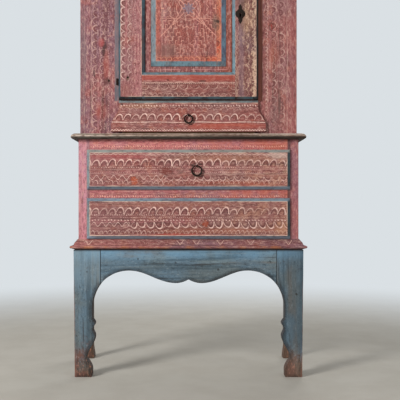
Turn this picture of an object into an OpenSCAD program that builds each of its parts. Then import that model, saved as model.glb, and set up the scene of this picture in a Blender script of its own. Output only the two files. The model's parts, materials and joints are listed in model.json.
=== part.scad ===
// Painted cabinet on stand, in millimetres.
// A cupboard with one panelled door and a small drawer stands on a chest with two drawers,
// and the chest stands on four shaped legs with a scalloped apron.
// The front faces -Y, +Z is up, and the origin is on the floor below the middle of the whole.

/* [Chest] */
// Width of the chest over its sides
chest_w = 880; // [800:1:960]
// Depth of the chest from its front frame to its back
chest_d = 410; // [360:1:460]
// Height of the rail below the lower drawer
bottom_rail_h = 52; // [46:1:64]
// Height of the lower drawer's opening
lower_opening_h = 143; // [120:1:170]
// Height of the rail between the two chest drawers
middle_rail_h = 54; // [46:1:70]
// Height of the upper drawer's opening
upper_opening_h = 140; // [120:1:170]
// Height of the rail above the upper drawer
chest_top_rail_h = 51; // [40:1:65]
// Width of the chest's front stiles
chest_stile_w = 44; // [38:1:60]
// Thickness of the board between chest and cupboard
waist_t = 24; // [18:1:32]
// How far the waist board's nosing stands out past the chest
waist_out = 27.5; // [20:0.5:34]
// Height of the moulding round the chest's foot
base_moulding_h = 42; // [34:1:46]
// How far the foot moulding stands out past the chest
base_moulding_out = 31; // [28:1:42]

/* [Cupboard] */
// How far the cupboard's sides stand in from the chest's
cupboard_in = 5; // [2:1:12]
// How far the cupboard's front stands back from the chest's
cupboard_setback = 15; // [10:1:24]
// Height of the small drawer's opening
small_opening_h = 100; // [84:1:120]
// Height of the rail between the small drawer and the door
cupboard_rail_h = 30; // [29:1:44]
// Width of the opening behind the door and the small drawer
door_opening_w = 532; // [480:1:580]
// Height of the opening behind the door
door_opening_h = 696; // [620:1:760]
// Height of the rail above the door
cupboard_top_rail_h = 112; // [96:1:140]
// Height of the cornice moulding
cornice_h = 80; // [66:1:96]
// How far the cornice stands out past the cupboard
cornice_out = 46; // [38:1:50]
// How far the cornice rises above the top board
cornice_rise = 28; // [16:1:40]
// Number of planks in the cupboard's back
cupboard_planks = 5; // [3:1:6]
// Number of planks in the chest's back
chest_planks = 3; // [2:1:4]

/* [Door] */
// Thickness of the door's frame
door_t = 28; // [24:1:32]
// How far the door and the small drawer lap over their openings
door_lip = 13; // [10:1:14]
// Width of the door's stiles, outer bevel included
door_stile_w = 93; // [84:1:104]
// Width of the door's rails, outer bevel included
door_rail_w = 95; // [84:1:108]
// Width of the bevel round the door's outer edge
door_bevel_w = 8; // [5:0.5:10]
// Width of the bevel round the inside of the door's frame
frame_bevel_w = 11; // [8:0.5:14]
// Depth of both bevels on the door's frame
frame_bevel_d = 8; // [5:0.5:10]
// Depth of the panel's flat margin below the frame's face
panel_margin_d = 14; // [12:0.5:16]
// Width of the panel's flat margin
panel_margin_w = 25; // [18:1:32]
// Width of the slope up to the panel's raised field
panel_slope_w = 19; // [12:1:26]
// Rise of the raised field above the margin
panel_rise = 9; // [5:0.5:11]
// Thickness of the panel's margin and of the groove that holds it
panel_tongue_t = 8; // [6:0.5:9]
// Depth of the groove in the door's frame
panel_groove_d = 10; // [7:0.5:14]
// How far the keyhole is below the middle of the door
keyhole_drop = 24; // [0:1:60]
// How far the lock's bolt travels
bolt_travel = 12; // [8:1:14]

/* [Drawers] */
// How far the chest drawers' lips lap over their openings
drawer_lip = 10; // [7:0.5:12]
// How far the chest drawers stand proud of the chest
drawer_proud = 20; // [15:0.5:24]
// Width of the bevel round a chest drawer
drawer_bevel_w = 12.5; // [8:0.5:16]
// Depth of that bevel
drawer_bevel_d = 13; // [8:0.5:14]
// How far the small drawer stands proud of the cupboard
small_proud = 15; // [12:0.5:20]
// How much wider the small drawer's foot is than its top, on each side
small_flare = 31; // [16:1:40]
// Width of the bevel along the small drawer's top
small_bevel_w = 10; // [6:0.5:12]
// Thickness of a drawer's sides and back
box_t = 12; // [9:0.5:16]
// Thickness of a drawer's bottom
box_bottom_t = 8; // [6:0.5:10]
// Clearance beside and above a drawer in its opening
box_gap = 2; // [1:0.5:4]
// Radius of the upper drawer's ring, to the middle of its wire
upper_ring_r = 19.3; // [15:0.1:24]
// Radius of the small drawer's ring, to the middle of its wire
small_ring_r = 15.8; // [13:0.1:20]
// Radius of the rings' wire
ring_wire_r = 2.2; // [1.6:0.1:2.6]
// How far the upper drawer's pull is right of the middle
upper_pull_x = 33; // [-60:1:60]

/* [Stand] */
// Height of the stand
stand_h = 508; // [440:1:580]
// How far the stand's sides stand out past the chest
stand_out = 18.5; // [14:0.5:22]
// How far the stand's front stands ahead of the chest
stand_front_out = 15; // [10:0.5:18]
// Width of a front leg where the apron joins it
leg_w = 108; // [100:1:120]
// Depth of a front leg
leg_d = 52; // [44:1:64]
// How much the legs draw in at the foot
leg_taper = 5; // [0:0.5:8]
// Width of a front leg below the arch
leg_shank_w = 75; // [68:1:80]
// Width of a front leg at its bead
leg_bead_w = 86; // [84:1:92]
// Width of a front leg at its knee
leg_knee_w = 86; // [85:1:96]
// Width of a front leg at its ankle
leg_ankle_w = 52; // [46:1:64]
// Width of a front leg at its toe
leg_toe_w = 74; // [70:1:90]
// Height of the bead's tip
bead_z = 198; // [190:1:208]
// Height of the knee
knee_z = 162; // [150:1:172]
// Height of the ankle
ankle_z = 72; // [64:1:86]
// Height of the toe's top
toe_z = 26; // [20:1:40]
// Thickness of the rear legs and of the side aprons
rear_leg_t = 28; // [24:1:34]
// Depth of a rear leg
rear_leg_d = 56; // [46:1:66]
// Thickness of the front apron
apron_t = 28; // [22:1:36]
// Wood left above the apron's two arches
arch_wood = 84; // [70:1:100]
// Wood left above the apron's two drops
drop_wood = 134; // [120:1:146]
// Height of the cusp between the drops
cusp_h = 14.5; // [8:0.5:20]
// Distance of a drop from the middle
drop_x = 52; // [40:1:70]
// Radius of the arches' outer quarter circle
arch_r = 147; // [125:1:160]
// Height of a side apron at its ends
side_apron_h = 105; // [90:1:120]
// Rise of the arch under a side apron
side_apron_rise = 30; // [10:1:45]
// Height of the stand's rear rail
rear_rail_h = 88; // [70:1:100]

/* [Boards] */
// Thickness of the case sides and of the front frames
case_t = 25; // [22:1:30]
// Thickness of the case floors and of the shelf
floor_t = 20; // [16:1:24]
// Thickness of the back planks
back_t = 15; // [12:1:20]
// Depth that the floors are housed into the sides
housing_d = 8; // [5:1:10]
// Thickness of the tenons
tenon_t = 9; // [7:0.5:11]
// Length of the frame rails' tenons
tenon_l = 25; // [18:1:30]
// Length of the stand's tenons
stand_tenon_l = 35; // [24:1:40]
// How far a tenon's edges stand in from its rail's edges
tenon_shoulder = 8; // [6:1:10]

/* [Hidden] */
$fn = 48;

red = [0.65, 0.41, 0.38];
pink_red = [0.72, 0.50, 0.50];
blue = [0.43, 0.51, 0.56];
bare_wood = [0.62, 0.50, 0.38];
grey_brown = [0.46, 0.39, 0.36];
iron = [0.20, 0.18, 0.17];

// Overlap past a face where one shape cuts another
over = 1;
// Longest reach used where a cut runs past everything
far = 2000;

// Heights of the main levels
chest_h = bottom_rail_h + lower_opening_h + middle_rail_h + upper_opening_h + chest_top_rail_h;
lower_opening_z = stand_h + bottom_rail_h;
middle_rail_z = lower_opening_z + lower_opening_h;
upper_opening_z = middle_rail_z + middle_rail_h;
chest_top_rail_z = upper_opening_z + upper_opening_h;
waist_z = stand_h + chest_h;
cupboard_z = waist_z + waist_t;
small_opening_z = cupboard_z + floor_t;
cupboard_rail_z = small_opening_z + small_opening_h;
door_opening_z = cupboard_rail_z + cupboard_rail_h;
cupboard_top_rail_z = door_opening_z + door_opening_h;
cupboard_top_z = cupboard_top_rail_z + cupboard_top_rail_h;

// Half widths
chest_half = chest_w / 2;
cupboard_half = chest_half - cupboard_in;
stand_half = chest_half + stand_out;
drawer_opening_half = chest_half - chest_stile_w;
door_opening_half = door_opening_w / 2;
door_half = door_opening_half + door_lip;

// Depths, with the front of the deepest moulding and the back at equal distances from the origin
front_reach = max(base_moulding_out, cornice_out - cupboard_setback);
chest_y = front_reach - (chest_d + front_reach) / 2;
back_y = chest_y + chest_d;
inner_back_y = back_y - back_t;
cupboard_y = chest_y + cupboard_setback;
stand_y = chest_y - stand_front_out;
frame_back_y = chest_y + case_t;
cupboard_frame_back_y = cupboard_y + case_t;

// Door
seat_gap = 1;
door_back_y = cupboard_y - seat_gap;
door_face_y = door_back_y - door_t;
door_z = door_opening_z - door_lip;
door_h = door_opening_h + 2 * door_lip;
door_mid_z = door_z + door_h / 2;
panel_edge_x = door_half - door_stile_w - frame_bevel_w;
panel_edge_h = door_h / 2 - door_rail_w - frame_bevel_w;
panel_fit = 1;
door_tenon_l = 50;
keyhole_z = door_mid_z - keyhole_drop;
keyhole_r = 4.5;
keyhole_slot_w = 6;
keyhole_slot_h = 16;

// Hinges
hinge_pin_r = 3;
hinge_clearance = 0.05;
hinge_barrel_r = 5.4;
hinge_h = 25;
hinge_x = -door_half - hinge_barrel_r - 0.6;
hinge_y = cupboard_y - hinge_barrel_r - 0.6;
hinge_drop = 290;
hinge_gap = 0.3;
hinge_tang_t = 3;
hinge_tang_l = 34;
hinge_spike_w = 5;

// Lock
lock_w = 66;
lock_h = 92;
lock_t = 20;
lock_wall = 2;
lock_edge_gap = 5;
lock_x1 = door_opening_half - lock_edge_gap;
lock_x0 = lock_x1 - lock_w;
keyhole_x = lock_x0 + 11;
bolt_h = 20;
bolt_t = 8;
bolt_slide_gap = 0.3;
bolt_z = keyhole_z + 20;
bolt_y = door_back_y + lock_t / 2;

// Drawers
drawer_tongue_t = 18;
drawer_back_gap = 12;
rabbet_d = 10;
groove_d = 6;
bottom_lift = 8;
guide_w = 20;
guide_h = 25;
guide_gap = 0.5;
runner_h = 20;
runner_w = 16;

// Pulls
staple_wire_r = 1.8;
pull_clearance = 0.35;
staple_eye_r = ring_wire_r + pull_clearance + staple_wire_r;
pull_stand = staple_eye_r + staple_wire_r + 1.4;
staple_hole_gap = 0.1;

function small_ring_top_z() = cupboard_z + 73;
function upper_ring_top_z() = upper_opening_z + upper_opening_h / 2 + 14;

// Placing and repeating
module slab(from, to) {
    translate(from) cube(to - from);
}

module along_x(x0, x1) {
    translate([x0, 0, 0]) rotate([90, 0, 90]) linear_extrude(x1 - x0) children();
}

module along_y(y0, y1) {
    translate([0, y1, 0]) rotate([90, 0, 0]) linear_extrude(y1 - y0) children();
}

module along_z(z0, z1) {
    translate([0, 0, z0]) linear_extrude(z1 - z0) children();
}

module mirrored() {
    mirror([1, 0, 0]) children();
}

module both_sides() {
    children();
    mirrored() children();
}

function reversed(list) = [for (i = [len(list) - 1 : -1 : 0]) list[i]];
function mirrored_points(list) = [for (p = reversed(list)) [-p[0], p[1]]];
function ease(t) = (1 - cos(180 * t)) / 2;
function quarter(cx, cz, rx, rz, a0, a1, steps = 8) =
    [for (i = [0 : steps]) let (a = a0 + (a1 - a0) * i / steps) [cx + rx * cos(a), cz + rz * sin(a)]];

// Stand
arch_top_z = stand_h - arch_wood;
drop_z = stand_h - drop_wood;
spring_z = arch_top_z - arch_r;
shank_x = stand_half - leg_shank_w;
arch_x = shank_x - arch_r;
joint_x = stand_half - leg_w;
cusp_r = (drop_x * drop_x + cusp_h * cusp_h) / (2 * cusp_h);
stand_tenon_y = stand_y + apron_t / 2;
apron_tenon_z = stand_h - drop_wood + 30;

// Height of the arch's edge at a distance x from the middle
function arch_edge_z(x) =
    x <= drop_x ? drop_z + cusp_r - sqrt(cusp_r * cusp_r - pow(x - drop_x, 2)) :
    x <= arch_x ? drop_z + (arch_top_z - drop_z) * ease((x - drop_x) / (arch_x - drop_x)) :
    spring_z + sqrt(max(0, arch_r * arch_r - pow(x - arch_x, 2)));

arch_right = concat(
    [for (i = [0 : 6]) let (x = drop_x * i / 6) [x, arch_edge_z(x)]],
    [for (i = [1 : 16]) let (x = drop_x + (arch_x - drop_x) * i / 16) [x, arch_edge_z(x)]],
    [for (i = [1 : 10]) let (x = arch_x + (joint_x - arch_x) * i / 10) [x, arch_edge_z(x)]]
);

// Width of a front leg at height z, below the arch
bead_top_z = bead_z + 33;
bead_step_z = bead_z - 8;
bead_notch = 2;
// The bead swells out over this turn of a sine, so its foot is a short step
bead_turn = 164;
function leg_width(z) =
    z >= bead_top_z ? leg_shank_w :
    z >= bead_z ? leg_shank_w + (leg_bead_w - leg_shank_w) * sin(bead_turn * (bead_top_z - z) / (bead_top_z - bead_z)) :
    z >= knee_z ? leg_knee_w - (leg_knee_w - leg_shank_w - bead_notch) * ease((z - knee_z) / (bead_step_z - knee_z)) :
    z >= ankle_z ? leg_ankle_w + (leg_knee_w - leg_ankle_w) * ease((z - ankle_z) / (knee_z - ankle_z)) :
    z >= toe_z ? leg_ankle_w + (leg_toe_w - leg_ankle_w) * sin(90 * (ankle_z - z) / (ankle_z - toe_z)) :
    leg_toe_w;

function leg_edge(z) = [stand_half - leg_width(z), z];

leg_inner_edge = concat(
    [[joint_x, stand_h]],
    [for (i = [0 : 8])
        let (a0 = asin((arch_edge_z(joint_x) - spring_z) / arch_r), a = a0 * (1 - i / 8))
        [arch_x + arch_r * cos(a), spring_z + arch_r * sin(a)]],
    [for (i = [0 : 7]) leg_edge(bead_top_z - (bead_top_z - bead_z) * i / 7)],
    [for (i = [0 : 8]) leg_edge(bead_step_z - (bead_step_z - knee_z) * i / 8)],
    [for (i = [1 : 12]) leg_edge(knee_z - (knee_z - ankle_z) * i / 12)],
    [for (i = [1 : 8]) leg_edge(ankle_z - (ankle_z - toe_z) * i / 8)],
    [leg_edge(0)]
);

module stand_tenon_front() {
    slab([joint_x - over, stand_tenon_y - tenon_t / 2, apron_tenon_z],
        [joint_x + stand_tenon_l, stand_tenon_y + tenon_t / 2, stand_h - tenon_shoulder]);
}

side_tenon_x = stand_half - rear_leg_t / 2;
rear_leg_y = back_y - rear_leg_d;
side_tenon_z = stand_h - side_apron_h + tenon_shoulder;
rear_rail_y = back_y - case_t;
rear_tenon_l = rear_leg_t * 0.6;

// Tenons of a side apron, in the front leg and in the rear leg
module side_apron_tenons() {
    slab([side_tenon_x - tenon_t / 2, stand_y + leg_d - tenon_l, side_tenon_z],
        [side_tenon_x + tenon_t / 2, rear_leg_y + tenon_l, stand_h - tenon_shoulder]);
}

module rear_rail_tenon() {
    slab([stand_half - rear_leg_t - over, rear_rail_y + (case_t - tenon_t) / 2, stand_h - rear_rail_h + tenon_shoulder],
        [stand_half - rear_leg_t + rear_tenon_l, rear_rail_y + (case_t + tenon_t) / 2, stand_h - tenon_shoulder]);
}

module front_leg() {
    color(blue) difference() {
        along_y(stand_y, stand_y + leg_d)
            polygon(concat(leg_inner_edge, [[stand_half - leg_taper, 0], [stand_half, stand_h]]));
        stand_tenon_front();
        side_apron_tenons();
    }
}

rear_foot_z = 62;
rear_foot_flare = 7;
module rear_leg() {
    color(blue) difference() {
        along_y(rear_leg_y, back_y)
            polygon(concat(
                [[stand_half - rear_leg_t, stand_h]],
                [for (i = [0 : 6]) let (z = rear_foot_z * (1 - i / 6))
                    [stand_half - rear_leg_t - rear_foot_flare * ease(i / 6), z]],
                [[stand_half - leg_taper, 0], [stand_half, stand_h]]));
        side_apron_tenons();
        rear_rail_tenon();
    }
}

module stand_leg_front_right() { front_leg(); }
module stand_leg_front_left() { mirrored() front_leg(); }
module stand_leg_rear_right() { rear_leg(); }
module stand_leg_rear_left() { mirrored() rear_leg(); }

module stand_front_apron() {
    color(blue) {
        along_y(stand_y, stand_y + apron_t)
            polygon(concat(
                mirrored_points(arch_right), arch_right,
                [[joint_x, stand_h], [-joint_x, stand_h]]));
        both_sides() stand_tenon_front();
    }
}

module side_apron() {
    apron_y0 = stand_y + leg_d;
    apron_len = rear_leg_y - apron_y0;
    steps = 20;
    along_x(stand_half - rear_leg_t, stand_half)
        polygon(concat(
            [for (i = [0 : steps]) let (t = i / steps)
                [apron_y0 + apron_len * t, stand_h - side_apron_h + side_apron_rise * ease(1 - abs(2 * t - 1))]],
            [[rear_leg_y, stand_h], [apron_y0, stand_h]]));
    side_apron_tenons();
}

module stand_side_aprons() {
    color(blue) both_sides() side_apron();
}

module stand_rear_rail() {
    color(blue) {
        slab([-stand_half + rear_leg_t, rear_rail_y, stand_h - rear_rail_h],
            [stand_half - rear_leg_t, back_y, stand_h]);
        both_sides() rear_rail_tenon();
    }
}

// Frame rails and their tenons, shared by chest and cupboard
module rail(half, y, z, h, tenon) {
    slab([-half, y, z], [half, y + case_t, z + h]);
    rail_tenons(half, y, z, h, tenon);
}

module rail_tenons(half, y, z, h, tenon) {
    both_sides()
        slab([half - over, y + (case_t - tenon_t) / 2, z + tenon_shoulder],
            [half + tenon, y + (case_t + tenon_t) / 2, z + h - tenon_shoulder]);
}

// Chest
module chest_rail_tenons() {
    rail_tenons(drawer_opening_half, chest_y, stand_h, bottom_rail_h, tenon_l);
    rail_tenons(drawer_opening_half, chest_y, middle_rail_z, middle_rail_h, tenon_l);
    rail_tenons(drawer_opening_half, chest_y, chest_top_rail_z, chest_top_rail_h, tenon_l);
}

module chest_bottom_rail() {
    color(red) rail(drawer_opening_half, chest_y, stand_h, bottom_rail_h, tenon_l);
}

module chest_middle_rail() {
    color(red) rail(drawer_opening_half, chest_y, middle_rail_z, middle_rail_h, tenon_l);
}

module chest_top_rail() {
    color(red) rail(drawer_opening_half, chest_y, chest_top_rail_z, chest_top_rail_h, tenon_l);
}

module chest_stile() {
    color(pink_red) difference() {
        slab([drawer_opening_half, chest_y, stand_h], [chest_half, frame_back_y, waist_z]);
        chest_rail_tenons();
    }
}

module chest_stile_right() { chest_stile(); }
module chest_stile_left() { mirrored() chest_stile(); }

// A floor board housed into the two sides, with its top at z
module housed_floor(half, y0, z) {
    slab([-(half - case_t + housing_d), y0, z - floor_t], [half - case_t + housing_d, inner_back_y, z]);
}

module chest_bottom_board() {
    color(bare_wood) housed_floor(chest_half, frame_back_y, lower_opening_z);
}

module chest_side() {
    color(red) difference() {
        slab([chest_half - case_t, frame_back_y, stand_h], [chest_half, inner_back_y, waist_z]);
        housed_floor(chest_half, frame_back_y, lower_opening_z);
    }
}

module chest_side_right() { chest_side(); }
module chest_side_left() { mirrored() chest_side(); }

plank_lap = 10;
plank_gap = 1;
// One back plank from 0 to w, half lapped over the next; the last one has no lap
module plank_profile(w, first, last) {
    polygon([
        [first ? 0 : plank_lap + plank_gap, 0], [first ? 0 : plank_lap + plank_gap, back_t / 2],
        [first ? 0 : plank_gap, back_t / 2], [first ? 0 : plank_gap, back_t],
        [w, back_t], [w, back_t / 2], [last ? w : w + plank_lap, back_t / 2], [last ? w : w + plank_lap, 0]
    ]);
}

module chest_back_planks() {
    plank_h = chest_h / chest_planks;
    color(bare_wood) for (i = [0 : chest_planks - 1])
        along_x(-chest_half, chest_half)
            translate([inner_back_y, stand_h + i * plank_h])
                mirror([1, -1, 0]) plank_profile(plank_h, i == 0, i == chest_planks - 1);
}

guide_x = drawer_opening_half + guide_gap;
module drawer_runners() {
    chest_inner = chest_half - case_t;
    color(bare_wood) both_sides() {
        along_y(frame_back_y, inner_back_y) polygon([
            [drawer_opening_half - runner_w, upper_opening_z - runner_h], [chest_inner, upper_opening_z - runner_h],
            [chest_inner, upper_opening_z + guide_h], [guide_x, upper_opening_z + guide_h],
            [guide_x, upper_opening_z], [drawer_opening_half - runner_w, upper_opening_z]]);
        slab([guide_x, frame_back_y, lower_opening_z], [chest_inner, inner_back_y, lower_opening_z + guide_h]);
        slab([door_opening_half + guide_gap, cupboard_frame_back_y, small_opening_z],
            [door_opening_half + guide_gap + guide_w, inner_back_y, small_opening_z + guide_h]);
    }
}

// Mouldings: each profile starts at the case's face, with x outwards and y upwards
module moulding_front(half, y, z, out) {
    intersection() {
        along_x(-half - out, half + out) translate([y, z]) mirror([1, 0]) children();
        along_z(z - over, z + far)
            polygon([[-half, y], [-half - out - over, y - out - over], [half + out + over, y - out - over], [half, y]]);
    }
}

module moulding_return(half, y, z, out) {
    intersection() {
        along_y(y - out, back_y) translate([half, z]) children();
        along_z(z - over, z + far)
            polygon([[half, y], [half + out + over, y - out - over], [half + out + over, back_y], [half, back_y]]);
    }
}

base_top_out = 2;
base_step_out = 15;
base_step_z = base_moulding_h * 0.62;
base_lip_z = 16;
base_nose = 7;
base_nose_z = base_lip_z - 5.5;
module base_profile() {
    polygon(concat(
        [[0, 0], [12, 0]],
        quarter(base_moulding_out - base_nose, base_nose_z, base_nose, base_lip_z - base_nose_z, -90, 90, 8),
        quarter(base_moulding_out - base_nose, base_step_z, base_moulding_out - base_nose - base_step_out,
            base_step_z - base_lip_z, 270, 180, 6),
        [[base_top_out, base_moulding_h], [0, base_moulding_h]]));
}

module base_moulding_front() {
    color(red) moulding_front(chest_half, chest_y, stand_h, base_moulding_out) base_profile();
}

module base_moulding_returns() {
    color(red) both_sides() moulding_return(chest_half, chest_y, stand_h, base_moulding_out) base_profile();
}

// Half outline of the waist board's edge: flat below, a thumb moulding above
thumb_z = waist_t / 3;
function waist_edge() = concat(
    quarter(waist_out - thumb_z, thumb_z, thumb_z, thumb_z, -90, 0, 6),
    quarter(waist_out - 22, thumb_z, 22, waist_t - thumb_z, 0, 90, 8));

module waist_board() {
    edge = waist_edge();
    color(grey_brown) intersection() {
        along_y(chest_y - waist_out, back_y) translate([0, waist_z]) polygon(concat(
            [for (p = edge) [chest_half + p[0], p[1]]],
            [for (p = reversed(edge)) [-chest_half - p[0], p[1]]]));
        along_x(-chest_half - waist_out, chest_half + waist_out) translate([0, waist_z]) polygon(concat(
            [[back_y, waist_t], [back_y, 0]],
            [for (p = edge) [chest_y - p[0], p[1]]]));
    }
}

// Cupboard
cupboard_tenon_l = tenon_l;
module cupboard_rail_tenons() {
    rail_tenons(door_opening_half, cupboard_y, cupboard_rail_z, cupboard_rail_h, cupboard_tenon_l);
    rail_tenons(door_opening_half, cupboard_y, cupboard_top_rail_z, cupboard_top_rail_h, cupboard_tenon_l);
}

module cupboard_middle_rail() {
    color(red) rail(door_opening_half, cupboard_y, cupboard_rail_z, cupboard_rail_h, cupboard_tenon_l);
}

module cupboard_top_rail() {
    color(red) rail(door_opening_half, cupboard_y, cupboard_top_rail_z, cupboard_top_rail_h, cupboard_tenon_l);
}

module cupboard_stile() {
    color(red) difference() {
        slab([door_opening_half, cupboard_y, cupboard_z], [cupboard_half, cupboard_frame_back_y, cupboard_top_z]);
        cupboard_rail_tenons();
    }
}

bolt_mortise_gap = 1;
module cupboard_stile_right() {
    color(red) difference() {
        cupboard_stile();
        slab([door_opening_half - over, bolt_y - bolt_t / 2 - bolt_mortise_gap, bolt_z - bolt_h / 2 - bolt_mortise_gap],
            [door_opening_half + bolt_travel + bolt_mortise_gap, bolt_y + bolt_t / 2 + bolt_mortise_gap,
                bolt_z + bolt_h / 2 + bolt_mortise_gap]);
    }
}

module cupboard_stile_left() {
    color(red) difference() {
        mirrored() cupboard_stile();
        both_hinges() pintle_spike();
    }
}

module cupboard_bottom_board() {
    color(bare_wood) {
        housed_floor(cupboard_half, cupboard_frame_back_y, small_opening_z);
        slab([-door_opening_half, cupboard_y, cupboard_z],
            [door_opening_half, cupboard_frame_back_y + over, small_opening_z]);
    }
}

module cupboard_floor() {
    color(bare_wood) housed_floor(cupboard_half, cupboard_frame_back_y, door_opening_z);
}

module cupboard_side() {
    color(red) difference() {
        slab([cupboard_half - case_t, cupboard_frame_back_y, cupboard_z], [cupboard_half, inner_back_y, cupboard_top_z]);
        housed_floor(cupboard_half, cupboard_frame_back_y, small_opening_z);
        housed_floor(cupboard_half, cupboard_frame_back_y, door_opening_z);
    }
}

module cupboard_side_right() { cupboard_side(); }
module cupboard_side_left() { mirrored() cupboard_side(); }

module cupboard_top_board() {
    color(bare_wood)
        slab([-cupboard_half, cupboard_y, cupboard_top_z], [cupboard_half, back_y, cupboard_top_z + floor_t]);
}

module cupboard_back_planks() {
    plank_w = 2 * cupboard_half / cupboard_planks;
    color(bare_wood) for (i = [0 : cupboard_planks - 1])
        along_z(cupboard_z, cupboard_top_z) translate([-cupboard_half + i * plank_w, inner_back_y])
            plank_profile(plank_w, i == 0, i == cupboard_planks - 1);
}

shelf_z = door_opening_z + door_opening_h / 2;
shelf_front_gap = 30;
shelf_side_gap = 1;
batten_w = 20;
batten_h = 22;
module shelf() {
    color(bare_wood)
        slab([-(cupboard_half - case_t - shelf_side_gap), cupboard_frame_back_y + shelf_front_gap, shelf_z],
            [cupboard_half - case_t - shelf_side_gap, inner_back_y, shelf_z + floor_t]);
}

module shelf_battens() {
    color(bare_wood) both_sides()
        slab([cupboard_half - case_t - batten_w, cupboard_frame_back_y + shelf_front_gap, shelf_z - batten_h],
            [cupboard_half - case_t, inner_back_y, shelf_z]);
}

// Cornice profile: a bead, a cove, a fillet and an ovolo below a top fillet
bead_r = 5;
cove_in = 9;
cornice_fillet = 4;
cornice_top_h = 9;
cove_top_z = cornice_h * 0.62;
module cornice_profile() {
    ovolo_z0 = cove_top_z + cornice_fillet;
    ovolo_h = cornice_h - cornice_top_h - ovolo_z0;
    ovolo_w = 9;
    polygon(concat(
        [[0, 0]],
        quarter(bead_r, bead_r, bead_r, bead_r, -90, 90, 8),
        [[bead_r, 2 * bead_r + 2], [cove_in, 2 * bead_r + 2]],
        quarter(cornice_out - ovolo_w, 2 * bead_r + 2, cornice_out - ovolo_w - cove_in,
            cove_top_z - 2 * bead_r - 2, 180, 90, 10),
        quarter(cornice_out - ovolo_w, ovolo_z0 + ovolo_h, ovolo_w, ovolo_h, -90, 0, 6),
        [[cornice_out, cornice_h], [0, cornice_h]]));
}

cornice_z = cupboard_top_z + floor_t + cornice_rise - cornice_h;
module cornice_front() {
    color(red) moulding_front(cupboard_half, cupboard_y, cornice_z, cornice_out) cornice_profile();
}

module cornice_returns() {
    color(red) both_sides() moulding_return(cupboard_half, cupboard_y, cornice_z, cornice_out) cornice_profile();
}

// Door frame: one blank with bevelled edges and a grooved opening, cut apart at its joints
function bevelled_section(half, bevel_w, bevel_d) =
    [[-half, 0], [-half, bevel_d - door_t], [-half + bevel_w, -door_t],
        [half - bevel_w, -door_t], [half, bevel_d - door_t], [half, 0]];

function opening_section(half) =
    [[-half, over], [-half, frame_bevel_d - door_t],
        [-half - frame_bevel_w * (1 + over / frame_bevel_d), -door_t - over],
        [half + frame_bevel_w * (1 + over / frame_bevel_d), -door_t - over],
        [half, frame_bevel_d - door_t], [half, over]];

// Solid whose sections across X and across Z are the two given profiles, measured from the door's back
module crossed(section_x, section_z) {
    intersection() {
        along_z(door_z - over, door_z + door_h + over) translate([0, door_back_y]) polygon(section_x);
        along_x(-door_half - over, door_half + over) translate([door_back_y, door_mid_z])
            polygon([for (p = section_z) [p[1], p[0]]]);
    }
}

groove_y0 = door_face_y + panel_margin_d;
module door_blank() {
    difference() {
        crossed(bevelled_section(door_half, door_bevel_w, frame_bevel_d),
            bevelled_section(door_h / 2, door_bevel_w, frame_bevel_d));
        crossed(opening_section(panel_edge_x), opening_section(panel_edge_h));
        slab([-panel_edge_x - panel_groove_d, groove_y0, door_mid_z - panel_edge_h - panel_groove_d],
            [panel_edge_x + panel_groove_d, groove_y0 + panel_tongue_t, door_mid_z + panel_edge_h + panel_groove_d]);
    }
}

// Face outline of the right stile: butted against the rails, with the inner bevel mitred
module door_stile_outline() {
    butt_x = panel_edge_x + frame_bevel_w;
    butt_h = panel_edge_h + frame_bevel_w;
    translate([0, door_mid_z]) polygon([
        [butt_x, -door_h / 2 - over], [door_half + over, -door_h / 2 - over],
        [door_half + over, door_h / 2 + over], [butt_x, door_h / 2 + over],
        [butt_x, butt_h], [panel_edge_x, panel_edge_h], [panel_edge_x, -panel_edge_h], [butt_x, -butt_h]]);
}

module door_stile_prism() {
    along_y(door_face_y - over, door_back_y + over) door_stile_outline();
}

// Tenons of a door rail, with their outer ends inside the stiles; side is 1 at the top and -1 at the bottom
module door_tenons(side) {
    butt_x = panel_edge_x + frame_bevel_w;
    tenon_z0 = panel_edge_h + panel_groove_d;
    both_sides() translate([0, 0, door_mid_z]) mirror([0, 0, side > 0 ? 0 : 1])
        slab([butt_x - over, groove_y0, tenon_z0],
            [butt_x + door_tenon_l, groove_y0 + panel_tongue_t, door_h / 2 - 2 * tenon_shoulder]);
}

module door_stile() {
    difference() {
        intersection() {
            door_blank();
            door_stile_prism();
        }
        door_tenons(1);
        door_tenons(-1);
    }
}

module keyhole(y0, y1) {
    translate([keyhole_x, y0, keyhole_z]) rotate([-90, 0, 0]) cylinder(h = y1 - y0, r = keyhole_r);
    slab([keyhole_x - keyhole_slot_w / 2, y0, keyhole_z - keyhole_slot_h],
        [keyhole_x + keyhole_slot_w / 2, y1, keyhole_z]);
}

module door_stile_right() {
    color(red) difference() {
        door_stile();
        keyhole(door_face_y - over, door_back_y + over);
    }
}

module door_stile_left() {
    color(red) difference() {
        mirrored() door_stile();
        both_hinges() eye_tang();
    }
}

module door_rail(side) {
    color(red) {
        difference() {
            intersection() {
                door_blank();
                translate([0, 0, door_mid_z]) mirror([0, 0, side > 0 ? 0 : 1]) slab([-door_half, -far, 0], [door_half, far, far]);
            }
            both_sides() door_stile_prism();
        }
        door_tenons(side);
    }
}

module door_bottom_rail() { door_rail(-1); }
module door_top_rail() { door_rail(1); }

// Half section of the panel, from its tongue in the groove to its raised field
function panel_section(half) =
    let (tongue = half + panel_groove_d - panel_fit,
        slope = half - panel_margin_w,
        field = slope - panel_slope_w,
        back = panel_margin_d + panel_tongue_t - door_t,
        margin = panel_margin_d - door_t)
    [[-tongue, back], [-tongue, margin], [-slope, margin], [-field, margin - panel_rise],
        [field, margin - panel_rise], [slope, margin], [tongue, margin], [tongue, back]];

module door_panel() {
    color(red) crossed(panel_section(panel_edge_x), panel_section(panel_edge_h));
}

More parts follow.
